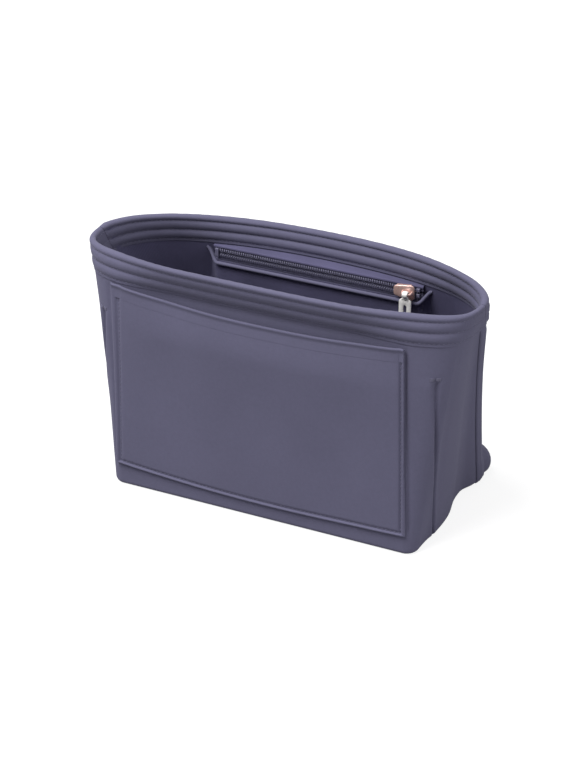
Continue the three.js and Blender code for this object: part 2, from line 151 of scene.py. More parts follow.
class INSERT_PG_wall(bpy.types.PropertyGroup):
    """Form of the wall and thickness of its layers"""

    rim_length: length("Rim length", "Length of the mouth over the rim band", 256)
    base_corner: length("Base corner", "Radius of the base's corners", 6)
    end_swell: length("End swell", "How far an end bulges out between its corner and its seam", 2)
    end_pinch: length("End pinch", "How far an end is drawn in between its swellings", 3)
    end_pinch_back: length("End pinch place", "How far behind the middle an end is drawn in", 20)
    seam_past_pinch: length("Seam foot", "How far behind the drawn-in place a side seam meets the base", 22)
    seam_forward: length("Seam head", "How far in front of the middle the side seam meets the rim", 24)
    front_bow: length("Front bow", "How far the rim bows forward from its tips", 36.3)
    front_fullness: share("Front fullness", "Power of the front rim's curve, 2 for an ellipse", 3.36)
    back_bow: length("Back bow", "How far the rim bows back from its tips", 54.2)
    back_fullness: share("Back fullness", "Power of the back rim's curve, 2 for an ellipse", 2.12)
    waist: length("Waist", "How far the walls draw in at half height", 2.5)
    front_fan: length("Front fan", "Length of the rim that a front corner of the base fans out to", 29)
    back_fan: length("Back fan", "Length of the rim that a back corner of the base fans out to", 18)
    fan_ease: length("Fan ease", "Half the length along the base over which a fan passes into an end", 6)
    neck: length("Neck", "How far the front draws in at the foot of the rim band", 3.6)
    neck_reach: length("Neck reach", "How far below the rim band the front draws in", 30)
    neck_power: share("Neck form", "Power of the curve up to the foot of the rim band", 1.5)
    front_flare: length("Front flare", "How far the rim leans out over its band's foot in front", 2.5)
    back_flare: length("Back flare", "How far the rim leans out over its band's foot at the back", 5)
    rim_dip: length("Rim dip", "How far the rim drops in the middle of the back, where it leans out", 2.4)
    middle: length("Middle", "Half the length of the front or back that leans fully", 55)
    foot_bulge: length("Foot bulge", "How far the wall bulges out over the base", 2)
    foot_bulge_height: length("Foot bulge height", "Height over which the wall bulges", 60)
    sag: length("Sag", "Height of the soft unevenness of the standing walls", 0.55)
    ear: length("Ear", "How far a back corner bulges out above the base", 5.5)
    ear_middle: length("Ear middle", "Height of the middle of a back corner's bulge", 9.5)
    ear_half: length("Ear half height", "Half height of a back corner's bulge", 11)
    ear_width: length("Ear width", "Half width of a back corner's bulge", 12)
    ear_power: share("Ear form", "Power of a back corner's bulge, lower for a fuller one", 0.75)
    tip: length("Tip", "How far the rim's tips stand out at the side seams", 1.5)
    tip_width: length("Tip width", "Half width of a tip, along the rim", 12)
    foot_curl: length("Foot curl", "Radius of the wall's turn under the base", 3.2)
    foot_end: share("Foot end", "Height of the cloth's lower end, as a share of the foot's turn", 0.12)
    outer_cloth: length("Outer cloth", "Thickness of the outer cloth", 0.7)
    interlining: length("Interlining", "Thickness of the stiffening layer", 1.2)
    lining: length("Lining", "Thickness of the lining", 0.5)
    layer_gap: length("Layer gap", "Gap between layers", 0.3)
    seam_gap: length("Seam gap", "Gap between the front and back panels at a side seam", 0.2)
    dart_foot: length("Dart foot", "How far a dart's foot lies behind the front of the base", 25.7)
    dart_head: length("Dart head", "How far a dart's top lies behind the front of the base", 7.8)
    dart_height: length("Dart height", "Height of the top of an end dart", 118)
    dart_fade: length("Dart fade", "Height over which an end dart comes to nothing", 4)
    dart_depth: length("Dart depth", "Depth of the crease of an end dart", 2.4)
    dart_width: length("Dart width", "Half width of the crease of an end dart", 1.0)
    dart_lips: length("Dart lips", "Half width of the soft lips beside a dart's crease", 3.5)
    dart_lip_share: share("Dart lip height", "Height of a dart's lips, as a share of its depth", 0.25)
    stiffening_inset: length("Stiffening inset", "How far the stiffening stays clear of a side seam", 0.3)
    floor_gap: length("Floor gap", "Gap between the lining and what lies on the floor", 0.8)
    base_under: share("Base edge place", "Inset of the base's edge, as a share of the foot's turn", 0.75)
    base_edge: length("Base edge", "Radius of the base panel's edges", 0.4)
    board_edge: length("Board edge", "Radius of the board's edges", 0.5)
    floor_edge: length("Floor edge", "Radius of the floor lining's edges", 0.15)


class INSERT_PG_band(bpy.types.PropertyGroup):
    """Rim band and its stitching"""

    stand: length("Stand", "How far the band stands out from the wall", 0.8)
    cloth: length("Cloth", "Thickness of the band's cloth", 0.5)
    first_row: length("First row", "Depth of the first stitch row below the ridge", 3.5)
    row_pitch: length("Row pitch", "Distance between stitch rows", 6.8)
    row_count: bpy.props.IntProperty(name="Rows", description="Stitch rows on each side", default=3)
    puff: length("Puff", "Height of the puffed channels over the stitch rows", 1.2)
    channel_power: share("Channel form", "Power of a channel's section, 2 for a parabola", 2.2)
    sink: length("Sink", "How far the stitch rows are drawn in", 0.5)
    lip: length("Lip", "Radius of the band's folded edge", 0.8)
    front_fade: length("Front fade", "Length over which the front's channels flatten at a seam", 45)
    back_fade: length("Back fade", "Length over which the back's channels flatten at a seam", 6)
    flat_puff: share("Flat puff", "Share of the puff that is left at a side seam", 0.1)
    lip_crown: share("Lip crown", "Share of the puff between the last row and the band's edge", 0.1)
    lip_drop: share("Lip drop", "How far the edge turns down to the wall, as a share of the stand", 0.7)
    pucker: length("Pucker", "Height of the small puckers along the channels", 0.1)
    pucker_length: length("Pucker length", "Length of a pucker along the band, for one radian", 1.35)
    stitch_pitch: length("Stitch pitch", "Distance from stitch to stitch", 2.7)
    stitch_length: length("Stitch length", "Length of a stitch", 1.9)
    thread: length("Thread", "Radius of the sewing thread", 0.2)
    end_margin: length("End margin", "How far the stitch rows stop short of a side seam", 2)
    tack_length: length("Tack length", "Length of a bar tack's stitches", 3.6)
    tack_height: length("Tack height", "Half the height of a bar tack", 0.8)
    tack_margin: length("Tack margin", "Cloth that a bar tack's stitch takes up past its length", 0.1)
    tack_gap: length("Tack gap", "Gap between a bar tack and the cloth", 0.05)
    tack_rows: bpy.props.IntProperty(name="Tack rows", description="Stitches in a bar tack", default=5)


class INSERT_PG_seam(bpy.types.PropertyGroup):
    """Strips over the side seams"""

    half_width: length("Half width", "Half the width of a strip", 4.5)
    tuck: length("Tuck", "How far a strip runs up under the rim band", 3)
    tail: length("Tail", "How far a strip runs down past its solid", 0.6)
    settle: length("Settle", "Height over which a strip flattens under the band", 6)
    cloth: length("Cloth", "Thickness of a strip", 0.3)
    gap: length("Gap", "Gap between a strip and the wall", 0.1)
    edge: length("Edge", "Height of a strip's turned edges", 0.25)
    crown: length("Crown", "How far a strip stands up between its edges", 0.75)
    flatness: share("Flatness", "Power of a strip's section, higher for a flatter top", 6)
    ridge: length("Ridge", "How far a strip rises over the seam", 0.35)
    ridge_width: length("Ridge width", "Half width of the rise over the seam", 1.2)


class INSERT_PG_pocket(bpy.types.PropertyGroup):
    """Front slip pocket"""

    left: length("Left reach", "Width of the pocket to the left of the middle", 98.5)
    right: length("Right reach", "Width of the pocket to the right of the middle, at its foot", 97.6)
    right_lean: length("Right lean", "How far the right edge leans in at the mouth", 4.7)
    mouth_sag: length("Mouth sag", "How far the mouth sags in its middle", 4.7)
    mouth_tilt: length("Mouth tilt", "How far the mouth rises to the left and drops to the right", 0.8)
    edge_crease: length("Edge crease", "How far the wall is drawn in beside the sewn edges", 0.7)
    crease_width: length("Crease width", "Half width of the crease beside a sewn edge", 0.8)
    crease_fade: length("Crease fade", "Height over which the crease comes to nothing", 4)
    foot: length("Foot", "Height of the bottom edge in the middle", 11)
    left_rise: length("Left rise", "How much higher the bottom edge is at its left end", 4.8)
    right_rise: length("Right rise", "How much higher the bottom edge is at its right end", 2.5)
    slack: length("Slack", "How far the pocket stands off the wall in the middle of its mouth", 3)
    mouth_lean: share("Mouth lean", "Share of the slack that is taken up again at the mouth", 0.3)
    gap: length("Gap", "Gap between the pocket and the wall at its sewn edges", 0.15)
    roll_width: length("Edge roll", "Width of the rolled edge", 1.6)
    roll_height: length("Edge height", "Height of the rolled edge", 0.95)
    groove: length("Groove", "Depth of the sewn line beside the rolled edge", 0.3)
    groove_place: length("Groove place", "Distance of the sewn line from the rolled edge", 0.7)
    groove_width: length("Groove width", "Half width of the sewn line", 0.75)
    bed: length("Bed", "How far the panel swells up inside the sewn line", 0.45)
    bed_reach: length("Bed reach", "Width over which the panel swells up", 3)
    hem: length("Hem", "Width of the binding along the mouth", 8)
    bead: length("Bead", "Radius of the bead along the mouth", 0.8)
    bead_reach: length("Bead reach", "Length over which the binding swells to the bead", 2.4)
    hem_inside: length("Hem inside", "Width of the binding behind the mouth", 5)
    hem_cloth: length("Hem cloth", "Thickness of the binding", 0.35)
    hem_gap: length("Hem gap", "Gap between the binding and the panel", 0.1)
    hem_rise: length("Hem rise", "How far the bead stands over the mouth", 0.6)
    hem_inset: length("Hem inset", "How far the binding stops short of the panel's sides", 0.6)


class INSERT_PG_zip(bpy.types.PropertyGroup):
    """Zipped pocket and zip"""

    end_reach: length("End reach", "Length over which the pocket turns back to the wall", 9)
    end_rise: length("End rise", "How far the corded edge rises at its ends", 8.5)
    pocket_cloth: length("Pocket cloth", "Thickness of the zipped pocket's cloth", 0.6)
    lining_gap: length("Lining gap", "Gap between the zipped pocket and the lining", 0.2)
    pocket_ease: share("Pocket ease", "Height of the pocket's cut, as a share of its height", 1.06)
    piping_lap: share("Piping lap", "Share of its stand that the cord loses at its ends", 0.6)
    strip_fold: length("Strip fold", "Radius of the top strip's fold", 0.8)
    strip_cloth: length("Strip cloth", "Thickness of the top strip", 0.35)
    coil_pitch: length("Coil pitch", "Length of one turn of the coil", 1.5)
    coil_wire: length("Coil wire", "Radius of the coil's wire", 0.32)
    coil_head: length("Coil head", "How far a coil reaches towards the other one", 0.25)
    tape_rib: length("Tape rib", "Width of a rib of the woven tape", 1.3)
    rib_height: length("Rib height", "Height of a rib of the woven tape", 0.16)
    tape_cloth: length("Tape cloth", "Thickness of the woven tape", 0.4)
    stop_pinch: share("Stop pinch", "How far a stop is pinched in its middle, as a share", 0.14)
    stop_edge: length("Stop edge", "Radius of a stop's edges", 0.3)


class INSERT_PG_slider(bpy.types.PropertyGroup):
    """Zip slider"""

    plate: length("Plate", "Thickness of the plates", 1.2)
    narrow_half: length("Narrow end", "Half height of the narrow end and of the rear plate", 3.6)
    corner: length("Corner", "Radius of the plates' corners", 2.2)
    border: length("Border", "Width of the front plate's sloping border", 1.1)
    border_share: share("Border height", "Share of the front plate that is its sloping border", 0.25)
    edge: length("Edge", "Radius of the edges", 0.45)
    wall: length("Wall", "Thickness of the side walls", 0.5)
    wall_depth: length("Wall depth", "How far the side walls reach back", 1.9)
    wall_sink: length("Wall sink", "How far the side walls sink into the front plate", 0.4)
    wall_start: length("Wall start", "Distance of the side walls from the narrow end", 1.5)
    wall_stop: length("Wall stop", "Distance of the side walls from the wide end", 2.5)
    narrow_inset: length("Narrow inset", "Inset of the side walls at the narrow end", 0.15)
    wide_inset: length("Wide inset", "Inset of the side walls at the wide end", 0.4)
    post_place: length("Post place", "Distance of the post from the wide end", 3.7)
    post_length: length("Post length", "Length of the post along the zip", 3)
    post_height: length("Post height", "Height of the post between the coils", 0.6)
    crown_bar: length("Crown bar", "Radius of the crown's bar", 0.7)
    crown_corner: length("Crown corner", "Radius of the crown's bends", 2.1)
    crown_sink: length("Crown sink", "How far the crown's feet sink into the plate", 0.25)
    crown_flare: share("Crown flare", "How much wider the crown's feet are than its bar", 1.1)


class INSERT_PG_tab(bpy.types.PropertyGroup):
    """Pull tab"""

    thick: length("Thickness", "Thickness of the tab", 1.2)
    head: length("Head", "Distance of the plate's top from the hinge", 3)
    corner: length("Corner", "Radius of the plate's corners", 2)
    edge: length("Edge", "Radius of the edges", 0.25)
    slot_head: length("Slot head", "Distance of the slot's top from the hinge", 7)
    slot_length: length("Slot length", "Length of the slot", 14)
    slot_half: length("Slot half width", "Half the width of the slot", 1.1)
    slot_round: share("Slot rounding", "Radius of the slot's ends, as a share of its half width", 0.98)
    eye_width: length("Eye width", "Width of the eye and of the neck", 3.6)
    eye_wall: length("Eye wall", "Thickness of the eye", 0.9)
    eye_bulge: length("Eye bulge", "How much thinner the eye is at its ends", 0.3)
    neck_head: length("Neck head", "Distance of the neck's top from the hinge", 1.7)
    neck_lap: length("Neck lap", "How far the neck reaches down into the plate", 1)
    neck_flare: share("Neck flare", "How much wider the neck is at its foot", 1.5)


class INSERT_PG_finish(bpy.types.PropertyGroup):
    """Colours of the finishes, linear"""

    outer: colour("Outer cloth", "Matt slate cloth", 0.104, 0.1, 0.16)
    lining: colour("Lining", "Darker slate lining", 0.079, 0.074, 0.14)
    stiffening: colour("Stiffening", "Pale bonded fibre", 0.49, 0.49, 0.5)
    board: colour("Board", "Plain stiffening board", 0.15, 0.12, 0.095)
    thread: colour("Thread", "Sewing thread", 0.115, 0.11, 0.172)
    tape: colour("Zip tape", "Woven tape", 0.125, 0.12, 0.19)
    coil: colour("Zip coil", "Nylon coil", 0.12, 0.115, 0.18)
    rose_gold: colour("Rose gold", "Rose gold plate", 0.74, 0.5, 0.45)
    silver: colour("Silver", "Silver plate", 0.9, 0.88, 0.86)


class INSERT_PG_stage(bpy.types.PropertyGroup):
    """Camera and light"""

    azimuth: bpy.props.FloatProperty(
        name="Azimuth", description="Direction of the camera from the front", subtype="ANGLE",
        default=math.radians(25.4),
    )
    elevation: bpy.props.FloatProperty(
        name="Elevation", description="Height of the camera above the horizon", subtype="ANGLE",
        default=math.radians(27.4),
    )
    distance: length("Distance", "Distance of the camera from the middle of the insert", 1372)
    aim_height: length("Aim height", "Height that the distance is measured from", 80)
    lens: share("Lens", "Focal length in millimetres on a 36 mm frame", 103.125)
    pan: share("Pan", "How far the view is turned to the left, as a slope", 0.00591)
    tilt: share("Tilt", "How far the view is turned down, as a slope", 0.00955)
    ambient: share("Ambient", "Strength of the even light from all round", 0.37)
    key: power("Key", "Strength of the main lamp", 59)
    key_place: position("Key place", "Place of the main lamp", -0.6, -0.75, 1.83)
    side: power("Side", "Strength of the side lamp", 14)
    side_place: position("Side place", "Place of the side lamp", 1.86, -0.22, 0.76)
    lamp_size: length("Lamp size", "Diameter of a lamp", 1400)
    floor_size: length("Floor size", "Length of the floor's sides", 12000)
    floor_tone: share("Floor tone", "How much light the floor throws back", 0.3)
    floor_glow: share("Floor glow", "How white the floor looks of itself", 0.82)


# Wall form


class Outline:
    """A flat curve that is looked up by the length along it."""

    def __init__(self, points):
        self.points = np.asarray(points, dtype=float)
        steps = np.linalg.norm(np.diff(self.points, axis=0), axis=1)
        self.runs = np.concatenate(([0.0], np.cumsum(steps)))
        self.length = self.runs[-1]

    def at(self, run):
        """Points at these lengths."""
        return np.stack([np.interp(run, self.runs, self.points[:, axis]) for axis in (0, 1)], axis=-1)


def bezier(start, first, second, end):
    """Points of a cubic curve."""
    t = np.linspace(0, 1, CURVE_STEPS)[:, None]
    ends = np.array(start) * (1 - t) ** 3 + np.array(end) * t**3
    return ends + 3 * t * (1 - t) * (np.array(first) * (1 - t) + np.array(second) * t)


def smooth(value):
    """A soft step from 0 to 1."""
    t = np.clip(value, 0, 1)
    return t * t * (3 - 2 * t)


def upper_step(rise, start):
    """A soft step from 0 to 1 over the upper part of a rise, which ends at 1."""
    return smooth((rise - start) / (1 - start))


class WallForm:
    """The wall as a loft from the base to the rim. Along is the length round the base outline: 0 in the
    middle of the front, then past the right side seam to the middle of the back."""

    def __init__(self):
        sizes = bpy.context.scene.insert_wall
        base_low, base_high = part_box("base_panel")
        half_depth = (base_high.y - base_low.y) / 2
        self.sizes = sizes
        self.half_depth = half_depth
        self.base_half = base_high.x - sizes.end_swell
        self.front_base = self.base_quarter(half_depth + sizes.end_pinch_back)
        self.back_base = self.base_quarter(half_depth - sizes.end_pinch_back)
        self.front_rim = self.rim_quarter(-sizes.front_bow, sizes.front_fullness)
        self.back_rim = self.rim_quarter(sizes.back_bow, sizes.back_fullness)
        self.middle_y = (base_low.y + base_high.y) / 2
        self.band_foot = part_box("rim_band_front")[0].z
        self.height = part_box("rim_band_front")[1].z
        self.pinch = self.front_base.length
        self.seam = self.pinch + sizes.seam_past_pinch
        self.half_turn = self.pinch + self.back_base.length
        self.turn = 2 * self.half_turn
        self.edge = self.base_half - sizes.base_corner
        self.corner_run = sizes.base_corner * math.pi / 2
        self.corner_end = self.edge + self.corner_run
        self.thickness = sizes.outer_cloth + sizes.interlining + sizes.lining + 2 * sizes.layer_gap

    def base_quarter(self, depth):
        """Base outline from the middle of an edge to the drawn-in place of an end, which is at y = 0."""
        corner = self.sizes.base_corner
        corner_end = depth - corner
        crest = depth / 2
        ease = crest / 2
        edge_x = self.base_half
        swell_x = edge_x + self.sizes.end_swell
        pinch_x = edge_x - self.sizes.end_pinch
        turn = np.linspace(-math.pi / 2, 0, CURVE_STEPS)
        arc_x = edge_x - corner + corner * np.cos(turn)
        arc = np.stack([arc_x, corner * np.sin(turn) - corner_end], axis=-1)
        from_corner = (edge_x, -corner_end), (edge_x, ease - corner_end)
        swell = bezier(*from_corner, (swell_x, -crest - ease), (swell_x, -crest))
        pinch = bezier((swell_x, -crest), (swell_x, ease - crest), (pinch_x, -ease), (pinch_x, 0))
        return Outline(np.concatenate([[[0, -depth]], arc, swell[1:], pinch[1:]]))

    def rim_quarter(self, bow, fullness):
        """Rim outline from the middle of a bowed edge to its tip, fuller than an ellipse."""
        angle = (1 - np.cos(np.linspace(0, math.pi, RIM_STEPS))) * math.pi / 4
        rim_half = self.sizes.rim_length / 2 - bpy.context.scene.insert_band.stand
        x = rim_half * np.sin(angle) ** (2 / fullness)
        y = bow * np.abs(np.cos(angle)) ** (2 / fullness)
        return Outline(np.stack([x, y - self.sizes.seam_forward], axis=-1))

    def wrap(self, along):
        """A place on the loop, counted to the right or left from the middle of the front."""
        return along - self.turn * np.round(along / self.turn)

    def foot(self, reach):
        """Point of the base outline."""
        front = self.front_base.at(reach)
        back = self.back_base.at(self.half_turn - reach) * [1, -1]
        return np.where((reach > self.pinch)[..., None], back, front) + [0, self.sizes.end_pinch_back]

    def gathering(self, rim, fan, to_seam):
        """Length of the rim for each length of the base, along an end."""
        return (rim.length - self.edge - fan) / (to_seam - self.corner_end)

    def beside_seam(self, off, z):
        """How far round the base a place lies that is a distance from a side seam at a height."""
        front = self.gathering(self.front_rim, self.sizes.front_fan, self.seam)
        back = self.gathering(self.back_rim, self.sizes.back_fan, self.half_turn - self.seam)
        return off / (1 + (np.where(off > 0, back, front) - 1) * z / self.height)

    def rim_run(self, rim, run, fan, to_seam):
        """Cloth hangs straight from the rim along the edge, fans out from the corner of the base, and is
        gathered in along the end."""
        ease = self.sizes.fan_ease
        fanned = fan / self.corner_run
        gathered = self.gathering(rim, fan, to_seam)
        off = run - self.corner_end
        past_corner = np.where(off < ease, np.clip(off + ease, 0, None) ** 2 / (4 * ease), off)
        return run + (fanned - 1) * np.clip(run - self.edge, 0, None) + (gathered - fanned) * past_corner

    def rim_runs(self, reach):
        """Length along the rim from the middle of the front and from the middle of the back."""
        to_seam = self.half_turn - self.seam
        front_run = self.rim_run(self.front_rim, reach, self.sizes.front_fan, self.seam)
        return front_run, self.rim_run(self.back_rim, self.half_turn - reach, self.sizes.back_fan, to_seam)

    def from_seam(self, along):
        """Length along the rim from the nearest side seam."""
        reach = np.abs(self.wrap(along))
        front_run, back_run = self.rim_runs(reach)
        front, back = self.front_rim.length - front_run, self.back_rim.length - back_run
        return np.where(reach > self.seam, back, front)

    def head(self, reach):
        """Point of the rim outline."""
        front_run, back_run = self.rim_runs(reach)
        front, back = self.front_rim.at(front_run), self.back_rim.at(back_run)
        return np.where((reach > self.seam)[..., None], back, front)

    def section(self, along, z):
        """Point of the plain section at a height."""
        wrapped = self.wrap(along)
        foot, head = self.foot(np.abs(wrapped)), self.head(np.abs(wrapped))
        point = foot + (head - foot) * (z / self.height)[..., None]
        point[..., 0] *= np.where(wrapped < 0, -1, 1)
        return point

    def end_place(self, behind, z):
        """Where the right end lies a distance behind the front of the base, at a height."""
        along = np.linspace(self.edge, self.seam, RIM_STEPS)
        return np.interp(behind - self.half_depth, self.section(along, np.full_like(along, z))[:, 1], along)

    def mid_wall(self, run):
        """1 in the middle of the front or the back, falling to 0 at the corners."""
        middle = self.sizes.middle
        return 1 - smooth((run - middle) / (self.corner_end - middle))

    def lean(self, along, z):
        """How far the wall leans out, and how far its rim drops: it bulges over the base, is drawn in at
        half height and at the foot of the rim band, and flares at the rim."""
        sizes = self.sizes
        reach = np.abs(self.wrap(along))
        in_front, at_back = self.mid_wall(reach), self.mid_wall(self.half_turn - reach)
        rise = z / self.height
        up = np.clip((z - self.band_foot) / (self.height - self.band_foot), 0, 1)
        below = np.clip((z - self.band_foot) / sizes.neck_reach + 1, 0, 1) ** sizes.neck_power
        drawn_in = sizes.waist * 4 * rise * (1 - rise) + sizes.neck * (1 - up) * below
        bulge = sizes.foot_bulge * np.exp(-((z / sizes.foot_bulge_height) ** 2))
        flare = up * (sizes.front_flare * in_front + sizes.back_flare * at_back)
        return bulge + flare - drawn_in * in_front, sizes.rim_dip * up * at_back

    def unevenness(self, along, rise):
        """Soft unevenness of the standing cloth, none at the base and the rim."""
        angle = 2 * math.pi * along / self.turn
        waves = 0
        for part, count, slant, phase in SAG_WAVES:
            waves = waves + part * np.sin(count * angle + slant * rise + phase)
        return self.sizes.sag * np.sin(math.pi * np.clip(rise, 0, 1)) * waves

    def ears(self, along, z):
        """Bulges of the back corners, a little above the base."""
        sizes = self.sizes
        off = self.half_turn - np.abs(self.wrap(along)) - self.edge - self.corner_run / 2
        height = np.clip(1 - ((z - sizes.ear_middle) / sizes.ear_half) ** 2, 0, 1)
        return sizes.ear * np.exp(-((off / sizes.ear_width) ** 2)) * height**sizes.ear_power

    def tips(self, along, rise):
        """The rim's tips at the side seams, which stand out a little."""
        sizes = self.sizes
        near_seam = np.exp(-((self.from_seam(along) / sizes.tip_width) ** 2))
        return sizes.tip * near_seam * upper_step(rise, TIP_START)

    def darts(self, along, z):
        """Height of the outer cloth at the end darts: a crease between soft lips, fading at the top."""
        sizes = self.sizes
        down = np.clip(1 - z / sizes.dart_height, 0, 1)
        behind = sizes.dart_head + (sizes.dart_foot - sizes.dart_head) * down**2
        off = self.section(along, z)[..., 1] + self.half_depth - behind
        fade = smooth((sizes.dart_height - z) / sizes.dart_fade)
        crease = np.exp(-((off / sizes.dart_width) ** 2))
        lips = np.exp(-((off / sizes.dart_lips) ** 2)) * smooth(z / sizes.dart_fade)
        return sizes.dart_depth * fade * (sizes.dart_lip_share * lips - crease)

    def curl(self, z):
        """How far the cloth turns in under the base, at its foot."""
        radius = self.sizes.foot_curl
        under = np.clip(radius - z, 0, None)
        return radius - np.sqrt(radius**2 - under**2)

    def outward(self, along, z):
        """Level direction out of the wall."""
        tangent = self.section(along + NORMAL_STEP, z) - self.section(along - NORMAL_STEP, z)
        tangent /= np.linalg.norm(tangent, axis=-1, keepdims=True)
        return np.stack([tangent[..., 1], -tangent[..., 0]], axis=-1)

    def point(self, along, z, out):
        """Point of the wall in the part's frame, a distance out from its outer face."""
        along, z, out = np.broadcast_arrays(*(np.asarray(value, dtype=float) for value in (along, z, out)))
        rise = z / self.height
        relief = self.unevenness(along, rise) + self.ears(along, z) + self.tips(along, rise)
        lean, drop = self.lean(along, z)
        flat = self.section(along, z) + self.outward(along, z) * (out + lean + relief)[..., None]
        return np.stack([flat[..., 0], flat[..., 1] + self.middle_y, z - drop], axis=-1)

    def normal(self, along, z):
        """Level direction out of the wall, as a vector in the part's frame."""
        along, z = np.broadcast_arrays(np.asarray(along, dtype=float), np.asarray(z, dtype=float))
        flat = self.outward(along, z)
        return np.stack([flat[..., 0], flat[..., 1], np.zeros_like(z)], axis=-1)

    def stretch(self, side):
        """Where the front or back panel starts and ends."""
        inset = self.sizes.seam_gap / 2
        if side == "front":
            return inset - self.seam, self.seam - inset
        return self.seam + inset, self.turn - self.seam - inset

    def half_lengths(self, side):
        """Length of the front or back half along the rim and along the base."""
        if side == "front":
            return 2 * self.front_rim.length, 2 * self.seam
        return 2 * self.back_rim.length, 2 * (self.half_turn - self.seam)

    def flat_size(self, side, height):
        """Width and height of a panel's cut, and its area: its rim and its base aren't equally wide."""
        rim, foot = self.half_lengths(side)
        return (max(rim, foot), height), (rim + foot) / 2 * height

    def columns(self, side, step, fine, inset=0.0):
        """Places along the front or back panel, closer together at base corners and darts."""
        middle, last = self.half_turn, self.corner_end
        if side == "front":
            middle, last = 0, self.end_place(self.sizes.dart_foot, 0)
        runs = np.arange(self.edge, last + BEND_REACH, BEND_REACH)
        bends = [middle + sign * run for sign in (-1, 1) for run in runs]
        start, stop = self.stretch(side)
        return spread(start + inset, stop - inset, step, bends, BEND_REACH, fine)


# Mesh helpers


def deselect_all():
    bpy.ops.object.select_all(action="DESELECT")


def activate(piece):
    deselect_all()
    piece.select_set(True)
    bpy.context.view_layer.objects.active = piece


def spread(start, stop, step, dense=(), reach=0.0, fine=0.0):
    """Even positions from start to stop, closer together near the dense places."""
    places = [np.linspace(start, stop, max(2, round((stop - start) / step) + 1))]
    for place in dense:
        places.append(np.linspace(place - reach, place + reach, 2 * round(reach / fine) + 1))
    inside = np.concatenate(places)
    inside = np.sort(inside[(inside > start) & (inside < stop)])
    least = CLOSEST * (fine or step)
    kept = [start]
    for place in inside:
        if place - kept[-1] > least and stop - place > least:
            kept.append(place)
    return np.array([*kept, stop])


def vertex_array(mesh):
    flat = np.empty(len(mesh.vertices) * 3)
    mesh.vertices.foreach_get("co", flat)
    return flat.reshape(-1, 3)


def set_vertices(mesh, points):
    mesh.vertices.foreach_set("co", np.asarray(points, dtype=np.float32).ravel())
    mesh.update()


def grid_piece(name, columns, rows, place):
    """A grid with these column and row values, whose vertices go to place(column, row). Its UV map holds
    the same values, so that a weave follows the cloth."""
    deselect_all()
    bpy.ops.mesh.primitive_grid_add(x_subdivisions=len(columns) - 1, y_subdivisions=len(rows) - 1, size=2)
    piece = bpy.context.object
    piece.name = name
    mesh = piece.data
    flat = vertex_array(mesh)
    column = columns[np.rint((flat[:, 0] + 1) / 2 * (len(columns) - 1)).astype(int)]
    row = rows[np.rint((flat[:, 1] + 1) / 2 * (len(rows) - 1)).astype(int)]
    set_vertices(mesh, place(column, row))
    corner_vertices = np.empty(len(mesh.loops), dtype=np.int32)
    mesh.loops.foreach_get("vertex_index", corner_vertices)
    weave = np.stack([column, row], axis=-1)[corner_vertices]
    mesh.uv_layers.active.data.foreach_set("uv", weave.astype(np.float32).ravel())
    return piece


def apply_modifiers(piece):
    activate(piece)
    for modifier in list(piece.modifiers):
        bpy.ops.object.modifier_apply(modifier=modifier.name)


def thicken(piece, thickness):
    """Gives a sheet its thickness, on the side that its faces turn away from."""
    solid = piece.modifiers.new("Cloth thickness", "SOLIDIFY")
    solid.thickness = thickness
    solid.offset = -1
    apply_modifiers(piece)


def soften(piece, radius, segments=3):
    """Rounds the sharp edges of a hard piece."""
    bevel = piece.modifiers.new("Soft edges", "BEVEL")
    bevel.width = radius
    bevel.segments = segments
    bevel.limit_method = "ANGLE"
    bevel.angle_limit = math.radians(35)
    apply_modifiers(piece)


def shade(piece, degrees=40):
    activate(piece)
    bpy.ops.object.shade_smooth_by_angle(angle=math.radians(degrees))


@contextmanager
def editing(piece):
    """Edit mode, with the whole piece selected."""
    activate(piece)
    bpy.ops.object.mode_set(mode="EDIT")
    bpy.ops.mesh.select_all(action="SELECT")
    yield
    bpy.ops.object.mode_set(mode="OBJECT")


def merge_and_turn_out(piece):
    """Merges doubled vertices and points the faces outwards."""
    with editing(piece):
        bpy.ops.mesh.remove_doubles(threshold=MERGE_DISTANCE)
        bpy.ops.mesh.normals_make_consistent(inside=False)


def unit_cube(name):
    """A new cube with sides of length 1, and its vertices."""
    deselect_all()
    bpy.ops.mesh.primitive_cube_add(size=1)
    piece = bpy.context.object
    piece.name = name
    return piece, vertex_array(piece.data)


def join(name, pieces):
    """Joins pieces into the first one."""
    deselect_all()
    for piece in pieces:
        piece.select_set(True)
    bpy.context.view_layer.objects.active = pieces[0]
    if len(pieces) > 1:
        bpy.ops.object.join()
    pieces[0].name = name
    return pieces[0]


def tube_piece(name, points, radius, fineness=3):
    """A round tube along points, with closed ends."""
    curve = bpy.data.curves.new(name, "CURVE")
    curve.dimensions = "3D"
    curve.bevel_depth = radius
    curve.bevel_resolution = fineness
    curve.use_fill_caps = True
    spline = curve.splines.new("POLY")
    spline.points.add(len(points) - 1)
    for knot, point in zip(spline.points, points):
        knot.co = (*point, 1)
    piece = bpy.data.objects.new(name, curve)
    bpy.context.collection.objects.link(piece)
    activate(piece)
    bpy.ops.object.convert(target="MESH")
    piece = bpy.context.object
    merge_and_turn_out(piece)
    return piece


def finish_piece(piece, body, slot, *nodes, finish=None):
    """Gives a finished piece its material and its place on the frame."""
    piece.data.materials.clear()
    piece.data.materials.append(finish_of(finish or slot))
    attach(piece, body)
    if nodes:
        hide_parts(*nodes)
    return piece


def cloth_piece(name, columns, rows, place, thickness, slot, node, sharp=60):
    """A sheet of cloth from a grid, in its node's place. Edges sharper than an angle stay sharp."""
    piece = grid_piece(name, columns, rows, place)
    thicken(piece, thickness)
    shade(piece, sharp)
    return finish_piece(piece, "insert", slot, node)


# Materials


